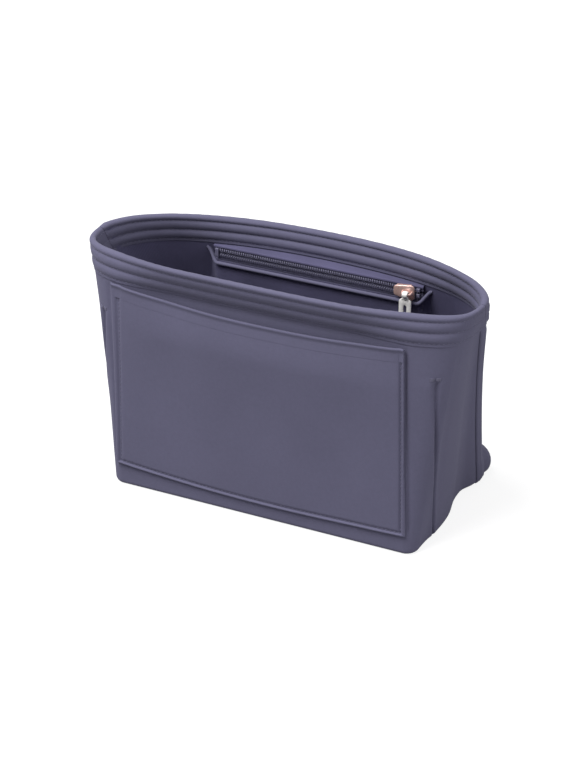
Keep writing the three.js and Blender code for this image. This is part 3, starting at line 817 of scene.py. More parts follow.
def add_node(tree, kind, inputs=None, **settings):
    """Adds a node. An input is a value, or the socket that it is linked to."""
    node = tree.nodes.new(kind)
    for name, value in settings.items():
        setattr(node, name, value)
    for name, value in (inputs or {}).items():
        if isinstance(value, bpy.types.NodeSocket):
            tree.links.new(value, node.inputs[name])
        else:
            node.inputs[name].default_value = value
    return node


class Finish:
    """A material, its node tree, its main shader and the coordinates that its patterns follow."""

    def __init__(self, name):
        self.material = bpy.data.materials.new(name)
        self.material.use_nodes = True
        self.tree = self.material.node_tree
        self.shader = self.tree.nodes["Principled BSDF"]
        self.coordinates = add_node(self.tree, "ShaderNodeTexCoord").outputs

    def noise(self, scale, detail, where=None):
        """A noise with this many spots to the metre."""
        inputs = {"Vector": where or self.coordinates["Object"], "Scale": scale, "Detail": detail}
        return add_node(self.tree, "ShaderNodeTexNoise", inputs).outputs["Fac"]

    def blend(self, first, second, amount):
        """A mix of two factors."""
        inputs = {"Factor": amount, "A": first, "B": second}
        return add_node(self.tree, "ShaderNodeMix", inputs).outputs["Result"]

    def colour(self, factor, tone, dark, light):
        """A colour that runs from a darker to a lighter shade of a tone."""
        ramp = add_node(self.tree, "ShaderNodeValToRGB", {"Fac": factor})
        for element, place, level in zip(ramp.color_ramp.elements, PATTERN_SPAN, (dark, light)):
            element.position = place
            element.color = (*(min(1, level * part) for part in tone), 1)
        self.tree.links.new(ramp.outputs["Color"], self.shader.inputs["Base Color"])

    def roughness(self, factor, low, high):
        """A roughness that runs from low to high."""
        span = {"From Min": PATTERN_SPAN[0], "From Max": PATTERN_SPAN[1], "To Min": low, "To Max": high}
        ranged = add_node(self.tree, "ShaderNodeMapRange", {"Value": factor, **span})
        self.tree.links.new(ranged.outputs["Result"], self.shader.inputs["Roughness"])

    def relief(self, height, strength, depth):
        """A fine relief."""
        inputs = {"Height": height, "Strength": strength, "Distance": depth}
        bump = add_node(self.tree, "ShaderNodeBump", inputs)
        self.tree.links.new(bump.outputs["Normal"], self.shader.inputs["Normal"])

    def set(self, **values):
        """Sets plain values of the shader, named in lower case with underscores."""
        sockets = {socket.name.lower().replace(" ", "_"): socket for socket in self.shader.inputs}
        for name, value in values.items():
            sockets[name].default_value = value


def felted_cloth(name, tone, sheen):
    """Matt cloth with a short felted nap: fine fibres, faint mottling and a soft sheen."""
    cloth = Finish(name)
    fibres = cloth.noise(scale=2400, detail=3)
    nap = cloth.noise(scale=420, detail=3)
    clouds = cloth.noise(scale=28, detail=2)
    cloth.colour(cloth.blend(cloth.blend(fibres, nap, 0.5), clouds, 0.3), tone, dark=0.88, light=1.12)
    cloth.roughness(nap, low=0.8, high=0.95)
    cloth.relief(cloth.blend(fibres, nap, 0.6), strength=0.35, depth=0.25 * MM)
    cloth.set(specular_ior_level=0.2, sheen_weight=sheen, sheen_roughness=0.45)
    cloth.set(sheen_tint=(0.75, 0.74, 0.9, 1))
    return cloth.material


def woven_cloth(name, tone, thread_width, sheen):
    """Thin plain weave that follows the cloth's own lengths."""
    cloth = Finish(name)
    waves = []
    for direction in ("X", "Y"):
        scale = math.pi / (10 * thread_width)
        inputs = {"Vector": cloth.coordinates["UV"], "Scale": scale, "Distortion": 0.4}
        wave = add_node(cloth.tree, "ShaderNodeTexWave", inputs, bands_direction=direction)
        waves.append(wave.outputs["Fac"])
    threads = cloth.blend(*waves, 0.5)
    clouds = cloth.noise(scale=35, detail=3)
    cloth.colour(cloth.blend(threads, clouds, 0.6), tone, dark=0.8, light=1.2)
    cloth.roughness(clouds, low=0.72, high=0.88)
    cloth.relief(threads, strength=0.4, depth=0.12 * MM)
    cloth.set(specular_ior_level=0.25, sheen_weight=sheen)
    return cloth.material


def fibre_board(name, tone):
    """Pressed fibre, used for the board and the stiffening."""
    board = Finish(name)
    flecks = board.noise(scale=900, detail=4)
    clouds = board.noise(scale=60, detail=2)
    board.colour(board.blend(flecks, clouds, 0.4), tone, dark=0.8, light=1.2)
    board.roughness(flecks, low=0.85, high=0.98)
    board.relief(flecks, strength=0.4, depth=0.2 * MM)
    return board.material


def spun_thread(name, tone, roughness):
    """Twisted thread or drawn nylon with a faint lustre."""
    thread = Finish(name)
    strands = thread.noise(scale=3000, detail=2)
    thread.colour(strands, tone, dark=0.75, light=1.25)
    thread.roughness(strands, low=roughness - 0.1, high=roughness + 0.1)
    return thread.material


def plated_metal(name, tone, polish, metallic):
    """Plated zinc: polished, with fine rubbing marks and duller patches from handling."""
    metal = Finish(name)
    rubbing = {"Vector": metal.coordinates["Object"], "Scale": (4000, 4000, 500)}
    rubbed = add_node(metal.tree, "ShaderNodeMapping", rubbing)
    marks = metal.noise(scale=1, detail=3, where=rubbed.outputs["Vector"])
    patches = metal.noise(scale=350, detail=2)
    metal.colour(patches, tone, dark=0.93, light=1.07)
    metal.roughness(metal.blend(marks, patches, 0.6), low=polish, high=polish + 0.16)
    metal.relief(marks, strength=0.08, depth=0.03 * MM)
    metal.set(metallic=metallic)
    return metal.material


def finish_of(slot):
    """The material of a finish, made when it is first asked for."""
    tones = bpy.context.scene.insert_finish
    makers = {
        "outer_cloth": lambda name: felted_cloth(name, tones.outer, sheen=0.12),
        "lining": lambda name: woven_cloth(name, tones.lining, thread_width=0.45 * MM, sheen=0.03),
        "stiffening": lambda name: fibre_board(name, tones.stiffening),
        "board": lambda name: fibre_board(name, tones.board),
        "thread": lambda name: spun_thread(name, tones.thread, roughness=0.7),
        "zip_tape": lambda name: woven_cloth(name, tones.tape, thread_width=0.3 * MM, sheen=0.03),
        "zip_coil": lambda name: spun_thread(name, tones.coil, roughness=0.42),
        "rose_gold": lambda name: plated_metal(name, tones.rose_gold, polish=0.24, metallic=0.6),
        "silver": lambda name: plated_metal(name, tones.silver, polish=0.26, metallic=0.2),
    }
    name = f"insert_{slot}"
    return bpy.data.materials.get(name) or makers[slot](name)


# Stitching


class StitchRow:
    """A sewn line through dense points, with the direction out of the cloth at each."""

    def __init__(self, points, normals):
        self.points = points
        self.normals = normals

    def stitches(self, pitch):
        """Middle, direction and outward direction of each stitch."""
        steps = np.linalg.norm(np.diff(self.points, axis=0), axis=1)
        runs = np.concatenate(([0.0], np.cumsum(steps)))
        count = max(1, round(runs[-1] / pitch))
        middles = (np.arange(count) + 0.5) * runs[-1] / count

        def at(values, run):
            return np.stack([np.interp(run, runs, values[:, axis]) for axis in range(3)], axis=-1)

        direction = at(self.points, middles + pitch / 4) - at(self.points, middles - pitch / 4)
        direction /= np.linalg.norm(direction, axis=1, keepdims=True)
        outward = at(self.normals, middles)
        outward -= direction * np.sum(outward * direction, axis=1, keepdims=True)
        outward /= np.linalg.norm(outward, axis=1, keepdims=True)
        return at(self.points, middles), direction, outward


def stitching_piece(name, rows, pitch=None, stitch_length=None):
    """One stitch, modelled once and copied along all the rows. Its ends dip into the cloth."""
    sizes = bpy.context.scene.insert_band
    pitch = pitch or sizes.stitch_pitch
    half = (stitch_length or sizes.stitch_length) / 2
    deselect_all()
    bpy.ops.mesh.primitive_uv_sphere_add(segments=6, ring_count=4, radius=1)
    model = bpy.context.object
    shape = vertex_array(model.data)
    faces = [np.array(face.vertices) for face in model.data.polygons]
    bpy.data.objects.remove(model)
    run, side, rise = shape[:, 2] * half, shape[:, 0] * sizes.thread, shape[:, 1] * sizes.thread
    rise = rise + sizes.thread * (STITCH_CREST - STITCH_DIP * shape[:, 2] ** 2)
    points = []
    for row in rows:
        for middle, direction, outward in zip(*row.stitches(pitch)):
            across = np.cross(outward, direction)
            reach = np.outer(run, direction) + np.outer(side, across) + np.outer(rise, outward)
            points.append(middle + reach)
    all_faces = [tuple(face + len(shape) * copy) for copy in range(len(points)) for face in faces]
    mesh = bpy.data.meshes.new(name)
    mesh.from_pydata(np.concatenate(points).tolist(), [], all_faces)
    piece = bpy.data.objects.new(name, mesh)
    bpy.context.collection.objects.link(piece)
    merge_and_turn_out(piece)
    shade(piece, degrees=80)
    return finish_piece(piece, "insert", "outer_cloth", finish="thread")


# Walls and base


class INSERT_OT_walls(bpy.types.Operator):
    """Make the front and back panels, their stiffening and their lining"""

    bl_idname = "insert.walls"
    bl_label = "Walls"

    def execute(self, context):
        form = WallForm()
        sizes = form.sizes
        stiffening_face = sizes.outer_cloth + sizes.layer_gap
        lining_face = stiffening_face + sizes.interlining + sizes.layer_gap
        for side in ("front", "back"):
            self.panel(form, side)
            self.layer(form, side, "interlining", stiffening_face, sizes.interlining, "stiffening")
            self.layer(form, side, "lining", lining_face, sizes.lining, "lining")
        return {"FINISHED"}

    @staticmethod
    def panel(form, side):
        """Outer cloth, turned under at its foot."""
        sizes = form.sizes
        node = f"{side}_panel"
        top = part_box(node)[1].z
        pocket = PocketForm(form)
        columns = form.columns(side, WALL_STEP, fine=0.3 * MM)
        turn = sizes.foot_curl
        rows = spread(turn * sizes.foot_end, top, 2.5 * MM, [turn], turn, fine=0.4 * MM)

        def place(along, z):
            drawn_in = pocket.edge_crease(along, z) if side == "front" else 0
            return form.point(along, z, form.darts(along, z) - drawn_in - form.curl(z))

        name = f"{node}_cloth"
        piece = cloth_piece(name, columns, rows, place, sizes.outer_cloth, "outer_cloth", node, sharp=40)
        flat, area = form.flat_size(side, top)

    @staticmethod
    def layer(form, side, name, face, thickness, slot):
        """An inner layer of the wall, behind the outer cloth."""
        node = f"{side}_{name}"
        low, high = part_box(node)
        inset = form.sizes.stiffening_inset if slot == "stiffening" else 0
        columns = form.columns(side, WALL_STEP, fine=0.5 * MM, inset=inset)
        rows = spread(low.z, high.z, 5 * MM, [form.sizes.ear_middle], reach=12 * MM, fine=2 * MM)

        def place(along, z):
            return form.point(along, z, np.minimum(form.darts(along, z), 0) - face)

        piece = cloth_piece(f"{node}_cloth", columns, rows, place, thickness, slot, node, sharp=40)
        flat, area = form.flat_size(side, high.z - low.z)


class INSERT_OT_base(bpy.types.Operator):
    """Make the base panel, its board and the floor lining"""

    bl_idname = "insert.base"
    bl_label = "Base"

    def execute(self, context):
        form = WallForm()
        sizes = form.sizes
        inside = form.thickness + sizes.floor_gap
        self.layer(form, "base_panel", sizes.foot_curl * sizes.base_under, sizes.base_edge, "outer_cloth")
        self.layer(form, "base_board", inside, sizes.board_edge, "board")
        self.layer(form, "floor_lining", inside, sizes.floor_edge, "lining")
        return {"FINISHED"}

    @staticmethod
    def layer(form, node, inset, edge, slot):
        """A flat layer between the front and back halves of the base outline."""
        low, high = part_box(node)
        columns = spread(-1, 1, 0.04, dense=BASE_CORNERS, reach=0.08, fine=0.01)
        rows = np.linspace(0, 1, BASE_ROWS)

        def place(across, back_share):
            front = form.point(across * form.seam, high.z, -inset)
            back_run = form.half_turn - across * (form.half_turn - form.seam)
            rear = form.point(back_run, high.z, -inset)
            return front + (rear - front) * back_share[:, None]

        piece = grid_piece(f"{node}_sheet", columns, rows, place)
        merge_and_turn_out(piece)
        if piece.data.polygons[0].normal.z < 0:
            with editing(piece):
                bpy.ops.mesh.flip_normals()
        thicken(piece, high.z - low.z)
        soften(piece, edge, segments=2)
        shade(piece)
        finish_piece(piece, "insert", slot, node)


# Rim band and side seams


class BandSection:
    """Section of a strip folded over an edge: up the outside, over a roll and down the inside, with puffed
    channels between its stitch rows."""

    def __init__(self, foot, head, roll, stand, inside_leg=None):
        self.roll = roll
        self.stand = stand
        self.middle_z = head - roll
        self.leg = self.middle_z - foot
        self.inside_leg = self.leg if inside_leg is None else inside_leg
        self.over = self.leg + math.pi * roll
        self.length = self.over + self.inside_leg

    def point(self, run, puff):
        """Depth out and height at a run along the section, raised by the puff."""
        angle = np.clip((run - self.leg) / self.roll, 0, math.pi)
        below = np.maximum(self.leg - run, 0) + np.maximum(run - self.over, 0)
        out = self.stand - self.roll + (self.roll + puff) * np.cos(angle)
        return out, self.middle_z + (self.roll + puff) * np.sin(angle) - below

    def rise(self, run, rows, puff, sizes):
        """Height of the cloth over the plain section: puffed channels and rounded edges."""
        bounds = np.array([-rows[0], *rows, 2 * self.length - rows[-1]])
        last = len(bounds) - 2
        channel = np.clip(np.searchsorted(bounds, run, side="right") - 1, 0, last)
        across = (run - bounds[channel]) / (bounds[channel + 1] - bounds[channel])
        crown = 1 - np.abs(2 * across - 1) ** sizes.channel_power
        crown = np.where((channel == 0) | (channel == last), sizes.lip_crown * crown, crown)
        edge = np.clip(1 - np.minimum(run, self.length - run) / sizes.lip, 0, 1)
        rounding = 1 - np.sqrt(1 - edge**2)
        return puff * crown - sizes.sink - sizes.stand * sizes.lip_drop * rounding


class INSERT_OT_rim_band(bpy.types.Operator):
    """Make the rim band, folded over the walls and sewn in rows"""

    bl_idname = "insert.rim_band"
    bl_label = "Rim band"

    def execute(self, context):
        form = WallForm()
        sizes = context.scene.insert_band
        front = self.band(form, sizes, "front", sizes.front_fade, seed=0.0)
        back = self.band(form, sizes, "back", sizes.back_fade, seed=1.7)
        stitching_piece("rim_stitching", front + back)
        return {"FINISHED"}

    @staticmethod
    def puckers(sizes, along, run, seed):
        """Small ripples of the sewn cloth, which wander along the band, and slow swells among them."""
        wander = WANDER * np.sin(along / WANDER_LENGTH + seed)
        ripple = np.sin(along / sizes.pucker_length + wander + run / RIPPLE_SLANT)
        swell = np.sin(along / SWELL_LENGTH + seed) * np.sin(run / SWELL_WIDTH)
        return sizes.pucker * (RIPPLE_SHARE * ripple + swell)

    def band(self, form, sizes, side, fade, seed):
        """The band of one side. Returns its stitch rows."""
        node = f"rim_band_{side}"
        low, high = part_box(node)
        section = BandSection(low.z, high.z, form.thickness / 2 + sizes.stand, sizes.stand)
        depths = sizes.first_row + sizes.row_pitch * np.arange(sizes.row_count)
        outside = np.sort(high.z - depths - low.z)
        sewn = np.concatenate([outside, np.sort(section.length - outside)])
        columns = form.columns(side, 1.8 * MM, fine=0.4 * MM)
        lines = [*sewn, 0, section.length]
        runs = spread(0, section.length, 0.6 * MM, lines, reach=0.9 * MM, fine=0.3 * MM)

        def place(along, run):
            full = sizes.flat_puff + (1 - sizes.flat_puff) * smooth(form.from_seam(along) / fade)
            plain = section.rise(run, sewn, sizes.puff * full, sizes)
            raised = np.clip((plain + sizes.sink) / sizes.puff, 0, 1)
            out, z = section.point(run, plain + self.puckers(sizes, along, run, seed) * raised)
            return form.point(along, z, out)

        piece = cloth_piece(f"{node}_cloth", columns, runs, place, sizes.cloth, "outer_cloth", node)
        flat = (form.half_lengths(side)[0], section.length)
        start, stop = form.stretch(side)
        along = np.linspace(start + sizes.end_margin, stop - sizes.end_margin, SEWN_POINTS)
        rows = []
        for run in sewn:
            out, z = section.point(np.full_like(along, run), -sizes.sink)
            outward = form.normal(along, z) * (1 if run < section.length / 2 else -1)
            rows.append(StitchRow(form.point(along, z, out), outward))
        return rows


class INSERT_OT_side_seams(bpy.types.Operator):
    """Make the strips over the side seams"""

    bl_idname = "insert.side_seams"
    bl_label = "Side seams"

    def execute(self, context):
        form = WallForm()
        for side, sign in (("right", 1), ("left", -1)):
            self.strip(form, context.scene.insert_seam, side, sign)
        return {"FINISHED"}

    @staticmethod
    def strip(form, sizes, side, sign):
        """A narrow strip with turned edges, raised along its middle where it covers the seam."""
        node = f"side_seam_{side}"
        low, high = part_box(node)
        half = sizes.half_width
        top = high.z + sizes.tuck
        columns = np.linspace(-half, half, SEAM_COLUMNS)
        rows = spread(low.z - sizes.tail, top, 3 * MM, [top], sizes.settle, fine=1 * MM)

        def place(off, z):
            crown = 1 - np.abs(off / half) ** sizes.flatness
            ridge = np.exp(-((off / sizes.ridge_width) ** 2))
            height = sizes.edge + sizes.crown * crown + sizes.ridge * ridge
            standing = smooth((top - z) / sizes.settle)
            along = sign * (form.seam + form.beside_seam(off, z))
            return form.point(along, z, sizes.gap + standing * height - form.curl(z))

        piece = cloth_piece(f"{node}_strip", columns, rows, place, sizes.cloth, "outer_cloth", node)


# Slip pocket


class PocketForm:
    """The slip pocket: flat at its sewn edges, standing off the wall towards the middle of its mouth."""

    def __init__(self, form):
        self.form = form
        self.sizes = bpy.context.scene.insert_pocket
        self.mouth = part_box("front_pocket_panel")[1].z
        self.cloth = form.sizes.outer_cloth
        self.width = self.sizes.right + self.sizes.left

    def foot(self, along):
        """Height of the bottom edge, which rises towards its ends."""
        sizes = self.sizes
        left = sizes.left_rise * (np.minimum(along, 0) / sizes.left) ** 2
        right = sizes.right_rise * (np.maximum(along, 0) / sizes.right) ** 2
        return sizes.foot + left + right

    def right(self, z):
        """Reach of the leaning right edge."""
        sizes = self.sizes
        return np.interp(z, [sizes.foot, self.mouth], [sizes.right, sizes.right - sizes.right_lean])

    def along(self, foot_place, z):
        """A place that is given for the foot, moved with the leaning right edge."""
        return foot_place * np.where(foot_place > 0, self.right(z) / self.sizes.right, 1)

    def across(self, along):
        """-1 at the left edge, 1 at the right edge."""
        return np.clip((2 * along + self.sizes.left - self.sizes.right) / self.width, -1, 1)

    def rim(self, along):
        """Height of the sagging mouth."""
        across = self.across(along)
        return self.mouth - self.sizes.mouth_tilt * across - self.sizes.mouth_sag * (1 - across**2)

    def edge_crease(self, along, z):
        """How far the wall is drawn in just outside the sewn side edges."""
        sizes = self.sizes
        off = np.maximum(along - self.right(z), -along - sizes.left) / sizes.crease_width - 1
        above, below = z - self.foot(along), self.rim(along) - z
        standing = smooth(above / sizes.crease_fade) * smooth(below / sizes.crease_fade)
        return sizes.edge_crease * np.exp(-(off**2)) * standing

    def lift(self, along, z):
        """Height of the panel's back over the wall. The mouth leans back a little."""
        sizes = self.sizes
        foot = self.foot(along)
        up = np.clip((z - foot) / (self.rim(along) - foot), 0, 1)
        lean = 1 - sizes.mouth_lean * upper_step(up, LEAN_START)
        return sizes.gap + sizes.slack * (1 - self.across(along) ** 4) * np.sin(up * math.pi / 2) * lean

    def border(self, off):
        """Height of the rolled edge and of the sewn line beside it, at a distance from the edge."""
        sizes = self.sizes
        across = np.clip(off / sizes.roll_width, 0, 1)
        inside = off - sizes.roll_width
        roll = sizes.roll_height * np.sqrt(np.clip(1 - (2 * across - 1) ** 2, 0, 1))
        line = (inside - sizes.groove_place) / sizes.groove_width
        return roll + sizes.bed * smooth(inside / sizes.bed_reach) - sizes.groove * np.exp(-(line**2))

    def face(self, along, z):
        """Height of the panel's front over the wall."""
        sides = np.minimum(along + self.sizes.left, self.right(z) - along)
        off = np.minimum(sides, z - self.foot(along))
        return self.lift(along, z) + self.cloth + self.border(np.maximum(off, 0))

    def stitch_row(self, along, z):
        """A sewn line on the panel's front."""
        return StitchRow(self.form.point(along, z, self.face(along, z)), self.form.normal(along, z))


class INSERT_OT_front_pocket(bpy.types.Operator):
    """Make the slip pocket on the front, its rolled edges, its bound mouth and its stitching"""

    bl_idname = "insert.front_pocket"
    bl_label = "Front pocket"

    def execute(self, context):
        form = WallForm()
        pocket = PocketForm(form)
        self.panel(form, pocket)
        self.binding(form, pocket)
        self.stitching(pocket)
        return {"FINISHED"}

    @staticmethod
    def panel(form, pocket):
        """The panel, with its rolled edges."""
        sizes = pocket.sizes
        ends = [-sizes.left, sizes.right]
        depth = pocket.mouth - sizes.foot
        columns = spread(*ends, 3.5 * MM, ends, reach=5 * MM, fine=0.25 * MM)
        rows = spread(0, 1, 3.5 * MM / depth, [0], reach=5 * MM / depth, fine=0.25 * MM / depth)

        def place(along, up):
            foot = pocket.foot(along)
            z = foot + up * (pocket.rim(along) - foot)
            along = pocket.along(along, z)
            return form.point(along, z, pocket.face(along, z))

        node = "front_pocket_panel"
        piece = cloth_piece("front_pocket_cloth", columns, rows, place, pocket.cloth, "outer_cloth", node)

    @staticmethod
    def binding(form, pocket):
        """A strip folded over the mouth: flat on the panel, and swelling to a bead along the mouth."""
        sizes = pocket.sizes
        foot, top = pocket.mouth - sizes.hem, pocket.mouth + sizes.hem_rise
        section = BandSection(foot, top, sizes.bead, sizes.bead, sizes.hem_inside)
        columns = spread(sizes.hem_inset - sizes.left, sizes.right - sizes.hem_inset, 2.5 * MM)
        folds = [0, section.leg, section.length]
        runs = spread(0, section.length, 0.8 * MM, folds, reach=1.2 * MM, fine=0.3 * MM)

        def place(along, run):
            out, z = section.point(run, 0)
            flat = 1 - smooth((run - section.leg) / sizes.bead_reach + 1)
            z = z + pocket.rim(along) - pocket.mouth
            along = pocket.along(along, z)
            behind = pocket.lift(along, z) + pocket.cloth
            base = np.where(run < section.over, pocket.face(along, z), behind)
            return form.point(along, z, base + out * (1 - flat) + sizes.hem_gap * flat)

        node = "front_pocket_binding"
        piece = cloth_piece("front_pocket_hem", columns, runs, place, sizes.hem_cloth, "outer_cloth", node)

    @staticmethod
    def stitching(pocket):
        """The rows beside the rolled edges."""
        sizes = pocket.sizes
        off = sizes.roll_width + sizes.groove_place
        left, right = off - sizes.left, sizes.right - off
        rows = []
        for end in (left, right):
            z = np.linspace(pocket.foot(end) + off, pocket.rim(end) - sizes.hem, SEWN_POINTS)
            rows.append(pocket.stitch_row(pocket.right(z) - off if end > 0 else np.full_like(z, end), z))
        along = np.linspace(left, right, SEWN_POINTS)
        rows.append(pocket.stitch_row(along, pocket.foot(along) + off))
        stitching_piece("front_pocket_stitching", rows)


# Zipped pocket


class ZipPocketForm:
    """The zipped pocket: hangs straight in front of the lower tape, slopes back to the wall at its foot
    and turns back to the wall past the ends of the zip."""

    def __init__(self, form):
        self.form = form
        self.sizes = bpy.context.scene.insert_zip
        self.low, self.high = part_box("zip_pocket_panel")
        self.slope_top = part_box("zip_tape_lower")[0].z
        self.front = self.low.y
        self.end = self.high.x
        self.cloth = self.sizes.pocket_cloth
        self.straight = self.end - self.sizes.end_reach

    def wall_y(self, x, z):
        """The lining's face at a place along the back wall."""
        along = self.form.half_turn - np.linspace(-BACK_REACH, BACK_REACH, BACK_STEPS)
        behind = self.form.thickness + self.sizes.lining_gap
        x, z = np.broadcast_arrays(np.asarray(x, dtype=float), np.asarray(z, dtype=float))
        level = np.empty_like(x)
        for height in np.unique(z):
            line = self.form.point(along, height, -behind)
            chosen = z == height
            level[chosen] = np.interp(x[chosen], line[:, 0], line[:, 1])
        return level

    def end_share(self, x):
        """0 along the zip, rising to 1 where the pocket ends on the wall."""
        return smooth((np.abs(x) - self.straight) / self.sizes.end_reach)

    def top(self, x):
        """Height of the corded edge, which rises at its ends."""
        return self.high.z + self.sizes.end_rise * self.end_share(x)

    def face_y(self, x, z):
        """The pocket's front face."""
        wall = self.wall_y(x, z) - self.cloth
        foot = self.wall_y(x, self.low.z) - self.cloth
        rise = np.clip((z - self.low.z) / (self.slope_top - self.low.z), 0, 1)
        hanging = np.minimum(foot + (self.front - foot) * np.sin(rise * math.pi / 2), wall)
        return hanging + (wall - hanging) * self.end_share(x)


class INSERT_OT_zip_pocket(bpy.types.Operator):
    """Make the zipped pocket's panel, its corded edge and its top strip"""

    bl_idname = "insert.zip_pocket"
    bl_label = "Zip pocket"

    def execute(self, context):
        pocket = ZipPocketForm(WallForm())
        self.panel(pocket)
        self.piping(pocket)
        self.strip(pocket)
        return {"FINISHED"}

    @staticmethod
    def panel(pocket):
        """The panel, which is drawn up with the corded edge at its ends."""
        end = pocket.end
        height = pocket.high.z - pocket.low.z
        columns = spread(-end, end, 3 * MM, [-end, end], reach=9 * MM, fine=0.9 * MM)
        rows = spread(0, 1, 0.03)

        def place(x, up):
            z = pocket.low.z + up * height
            raised = z + (pocket.top(x) - pocket.high.z) * upper_step(up, DRAW_START)
            return np.stack([x, pocket.face_y(x, z), raised], axis=-1)

        name, node = "zip_pocket_cloth", "zip_pocket_panel"
        piece = cloth_piece(name, columns, rows, place, pocket.cloth, "lining", node, sharp=50)

    @staticmethod
    def piping(pocket):
        """A cord along the panel's top edge."""
        low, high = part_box("zip_pocket_piping")
        radius = (high.z - low.z) / 2
        end = pocket.end
        x = spread(-end, end, 4 * MM, [-end, end], reach=14 * MM, fine=0.7 * MM)
        stand = (low.y + radius - pocket.front) * (1 - pocket.sizes.piping_lap * pocket.end_share(x))
        y = pocket.face_y(x, high.z) + stand
        piece = tube_piece("zip_pocket_cord", np.stack([x, y, pocket.top(x) - radius], axis=-1), radius)
        shade(piece, degrees=60)
        finish_piece(piece, "insert", "outer_cloth", "zip_pocket_piping")

    @staticmethod
    def strip(pocket):
        """Cloth from the front of the upper tape over to the wall, just under the rim band."""
        node = "zip_top_strip"
        low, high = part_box(node)
        fold = pocket.sizes.strip_fold
        columns = spread(low.x, high.x, 3 * MM)

        def place(x, run):
            up = np.clip(run / FOLD_START, 0, 1)
            corner = np.clip((run - FOLD_START) / (1 - FOLD_START), 0, 1) * math.pi / 2
            depth = pocket.wall_y(x, high.z) - low.y - fold
            y = low.y + fold * (1 - np.cos(corner)) + depth * np.clip(run - 1, 0, 1)
            z = low.z + (high.z - low.z - fold) * up + fold * np.sin(corner)
            return np.stack([x, y, z], axis=-1)

        cloth = pocket.sizes.strip_cloth
        piece = cloth_piece(f"{node}_cloth", columns, np.array(STRIP_ROWS), place, cloth, "lining", node)


# Zip


class INSERT_OT_zip(bpy.types.Operator):
    """Make the zip's tapes, coils and stops"""

    bl_idname = "insert.zip"
    bl_label = "Zip"

    def execute(self, context):
        sizes = context.scene.insert_zip
        for side, sewn_to in (("upper", "zip_top_strip"), ("lower", "zip_pocket_panel")):
            self.tape(sizes, side, sewn_to)
            self.coil(sizes, side)
        for node in ("zip_top_stop_upper", "zip_top_stop_lower", "zip_bottom_stop"):
            self.stop(sizes, node)
        return {"FINISHED"}

    @staticmethod
    def tape(sizes, side, sewn_to):
        """Woven tape with ribs along its length."""
        node = f"zip_tape_{side}"
        low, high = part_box(node)
        columns = spread(low.x, high.x, 6 * MM)
        rows = spread(low.z, high.z, sizes.tape_rib / 8)

        def place(x, z):
            rib = sizes.rib_height * np.abs(np.sin(math.pi * (z - low.z) / sizes.tape_rib))
            return np.stack([x, low.y + sizes.tape_cloth / 2 - rib, z], axis=-1)

        piece = cloth_piece(f"{node}_cloth", columns, rows, place, sizes.tape_cloth, "zip_tape", node)

    @staticmethod
    def coil(sizes, side):
        """A wound wire, flattened against the tape, whose turns reach towards the other coil."""
        node = f"zip_coil_{side}"
        low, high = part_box(node)
        wire = sizes.coil_wire
        bottom = low.z - (sizes.coil_head if side == "upper" else 0)
        top = high.z + (sizes.coil_head if side == "lower" else 0)
        turns = int((high.x - low.x - 2 * wire) / sizes.coil_pitch)
        angle = np.linspace(0, 2 * math.pi * turns, TURN_STEPS * turns + 1)
        winding = angle if side == "upper" else -angle
        x = low.x + wire + angle / (2 * math.pi) * sizes.coil_pitch
        y = (low.y + high.y) / 2 + ((high.y - low.y) / 2 - wire) * np.cos(angle)
        z = (bottom + top) / 2 + ((top - bottom) / 2 - wire) * np.sin(winding)
        piece = tube_piece(f"{node}_wire", np.stack([x, y, z], axis=-1), wire, fineness=1)
        shade(piece, degrees=80)
        finish_piece(piece, "insert", "zip_coil", node)

    @staticmethod
    def stop(sizes, node):
        """A moulded stop, pinched along its middle."""
        low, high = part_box(node)
        piece = unit_cube(f"{node}_clip")[0]
        with editing(piece):
            bpy.ops.mesh.subdivide(number_cuts=3)
        shape = vertex_array(piece.data)
        shape[:, 1:] *= 1 - sizes.stop_pinch * np.cos(math.pi * shape[:, :1]) ** 2
        set_vertices(piece.data, shape * np.array(high - low) + np.array(high + low) / 2)
        soften(piece, sizes.stop_edge)
        shade(piece)
        finish_piece(piece, "insert", "zip_coil", node)


# Slider and pull tab


def arc_points(x, z, radius, start):
    """Points of a quarter circle, in X and Z."""
    angle = start + np.linspace(0, math.pi / 2, ARC_POINTS)
    return np.stack([x + radius * np.cos(angle), z + radius * np.sin(angle)], axis=-1)


def rounded_outline(left, right, left_half, right_half, z, corner):
    """A bar along X with rounded corners, which may be narrower at its left end."""
    return np.concatenate([
        arc_points(left + corner, z - left_half + corner, corner, math.pi),
        arc_points(right - corner, z - right_half + corner, corner, 1.5 * math.pi),
        arc_points(right - corner, z + right_half - corner, corner, 0),
        arc_points(left + corner, z + left_half - corner, corner, 0.5 * math.pi),
    ])


def outline_loop(points, y, filled):
    """A flat loop of points in X and Z at a depth, made from a circle."""
    deselect_all()
    bpy.ops.mesh.primitive_circle_add(vertices=len(points), fill_type="NGON" if filled else "NOTHING")
    loop = bpy.context.object
    shape = vertex_array(loop.data)
    order = np.argsort(np.arctan2(shape[:, 1], shape[:, 0]))
    about = points - points.mean(axis=0)
    turned = points[np.argsort(np.arctan2(about[:, 1], about[:, 0]))]
    shape[order] = np.stack([turned[:, 0], np.full(len(points), y), turned[:, 1]], axis=-1)
    set_vertices(loop.data, shape)
    return loop


def extrude_forward(piece, distance, inset=0.0, dome=0.0):
    """Extrudes a flat piece along -Y, and raises an inset face in front of it."""
    with editing(piece):
        bpy.ops.mesh.extrude_region_move(TRANSFORM_OT_translate={"value": (0, -distance, 0)})
        if inset:
            bpy.ops.mesh.inset(thickness=inset, depth=dome)
    merge_and_turn_out(piece)
    return piece


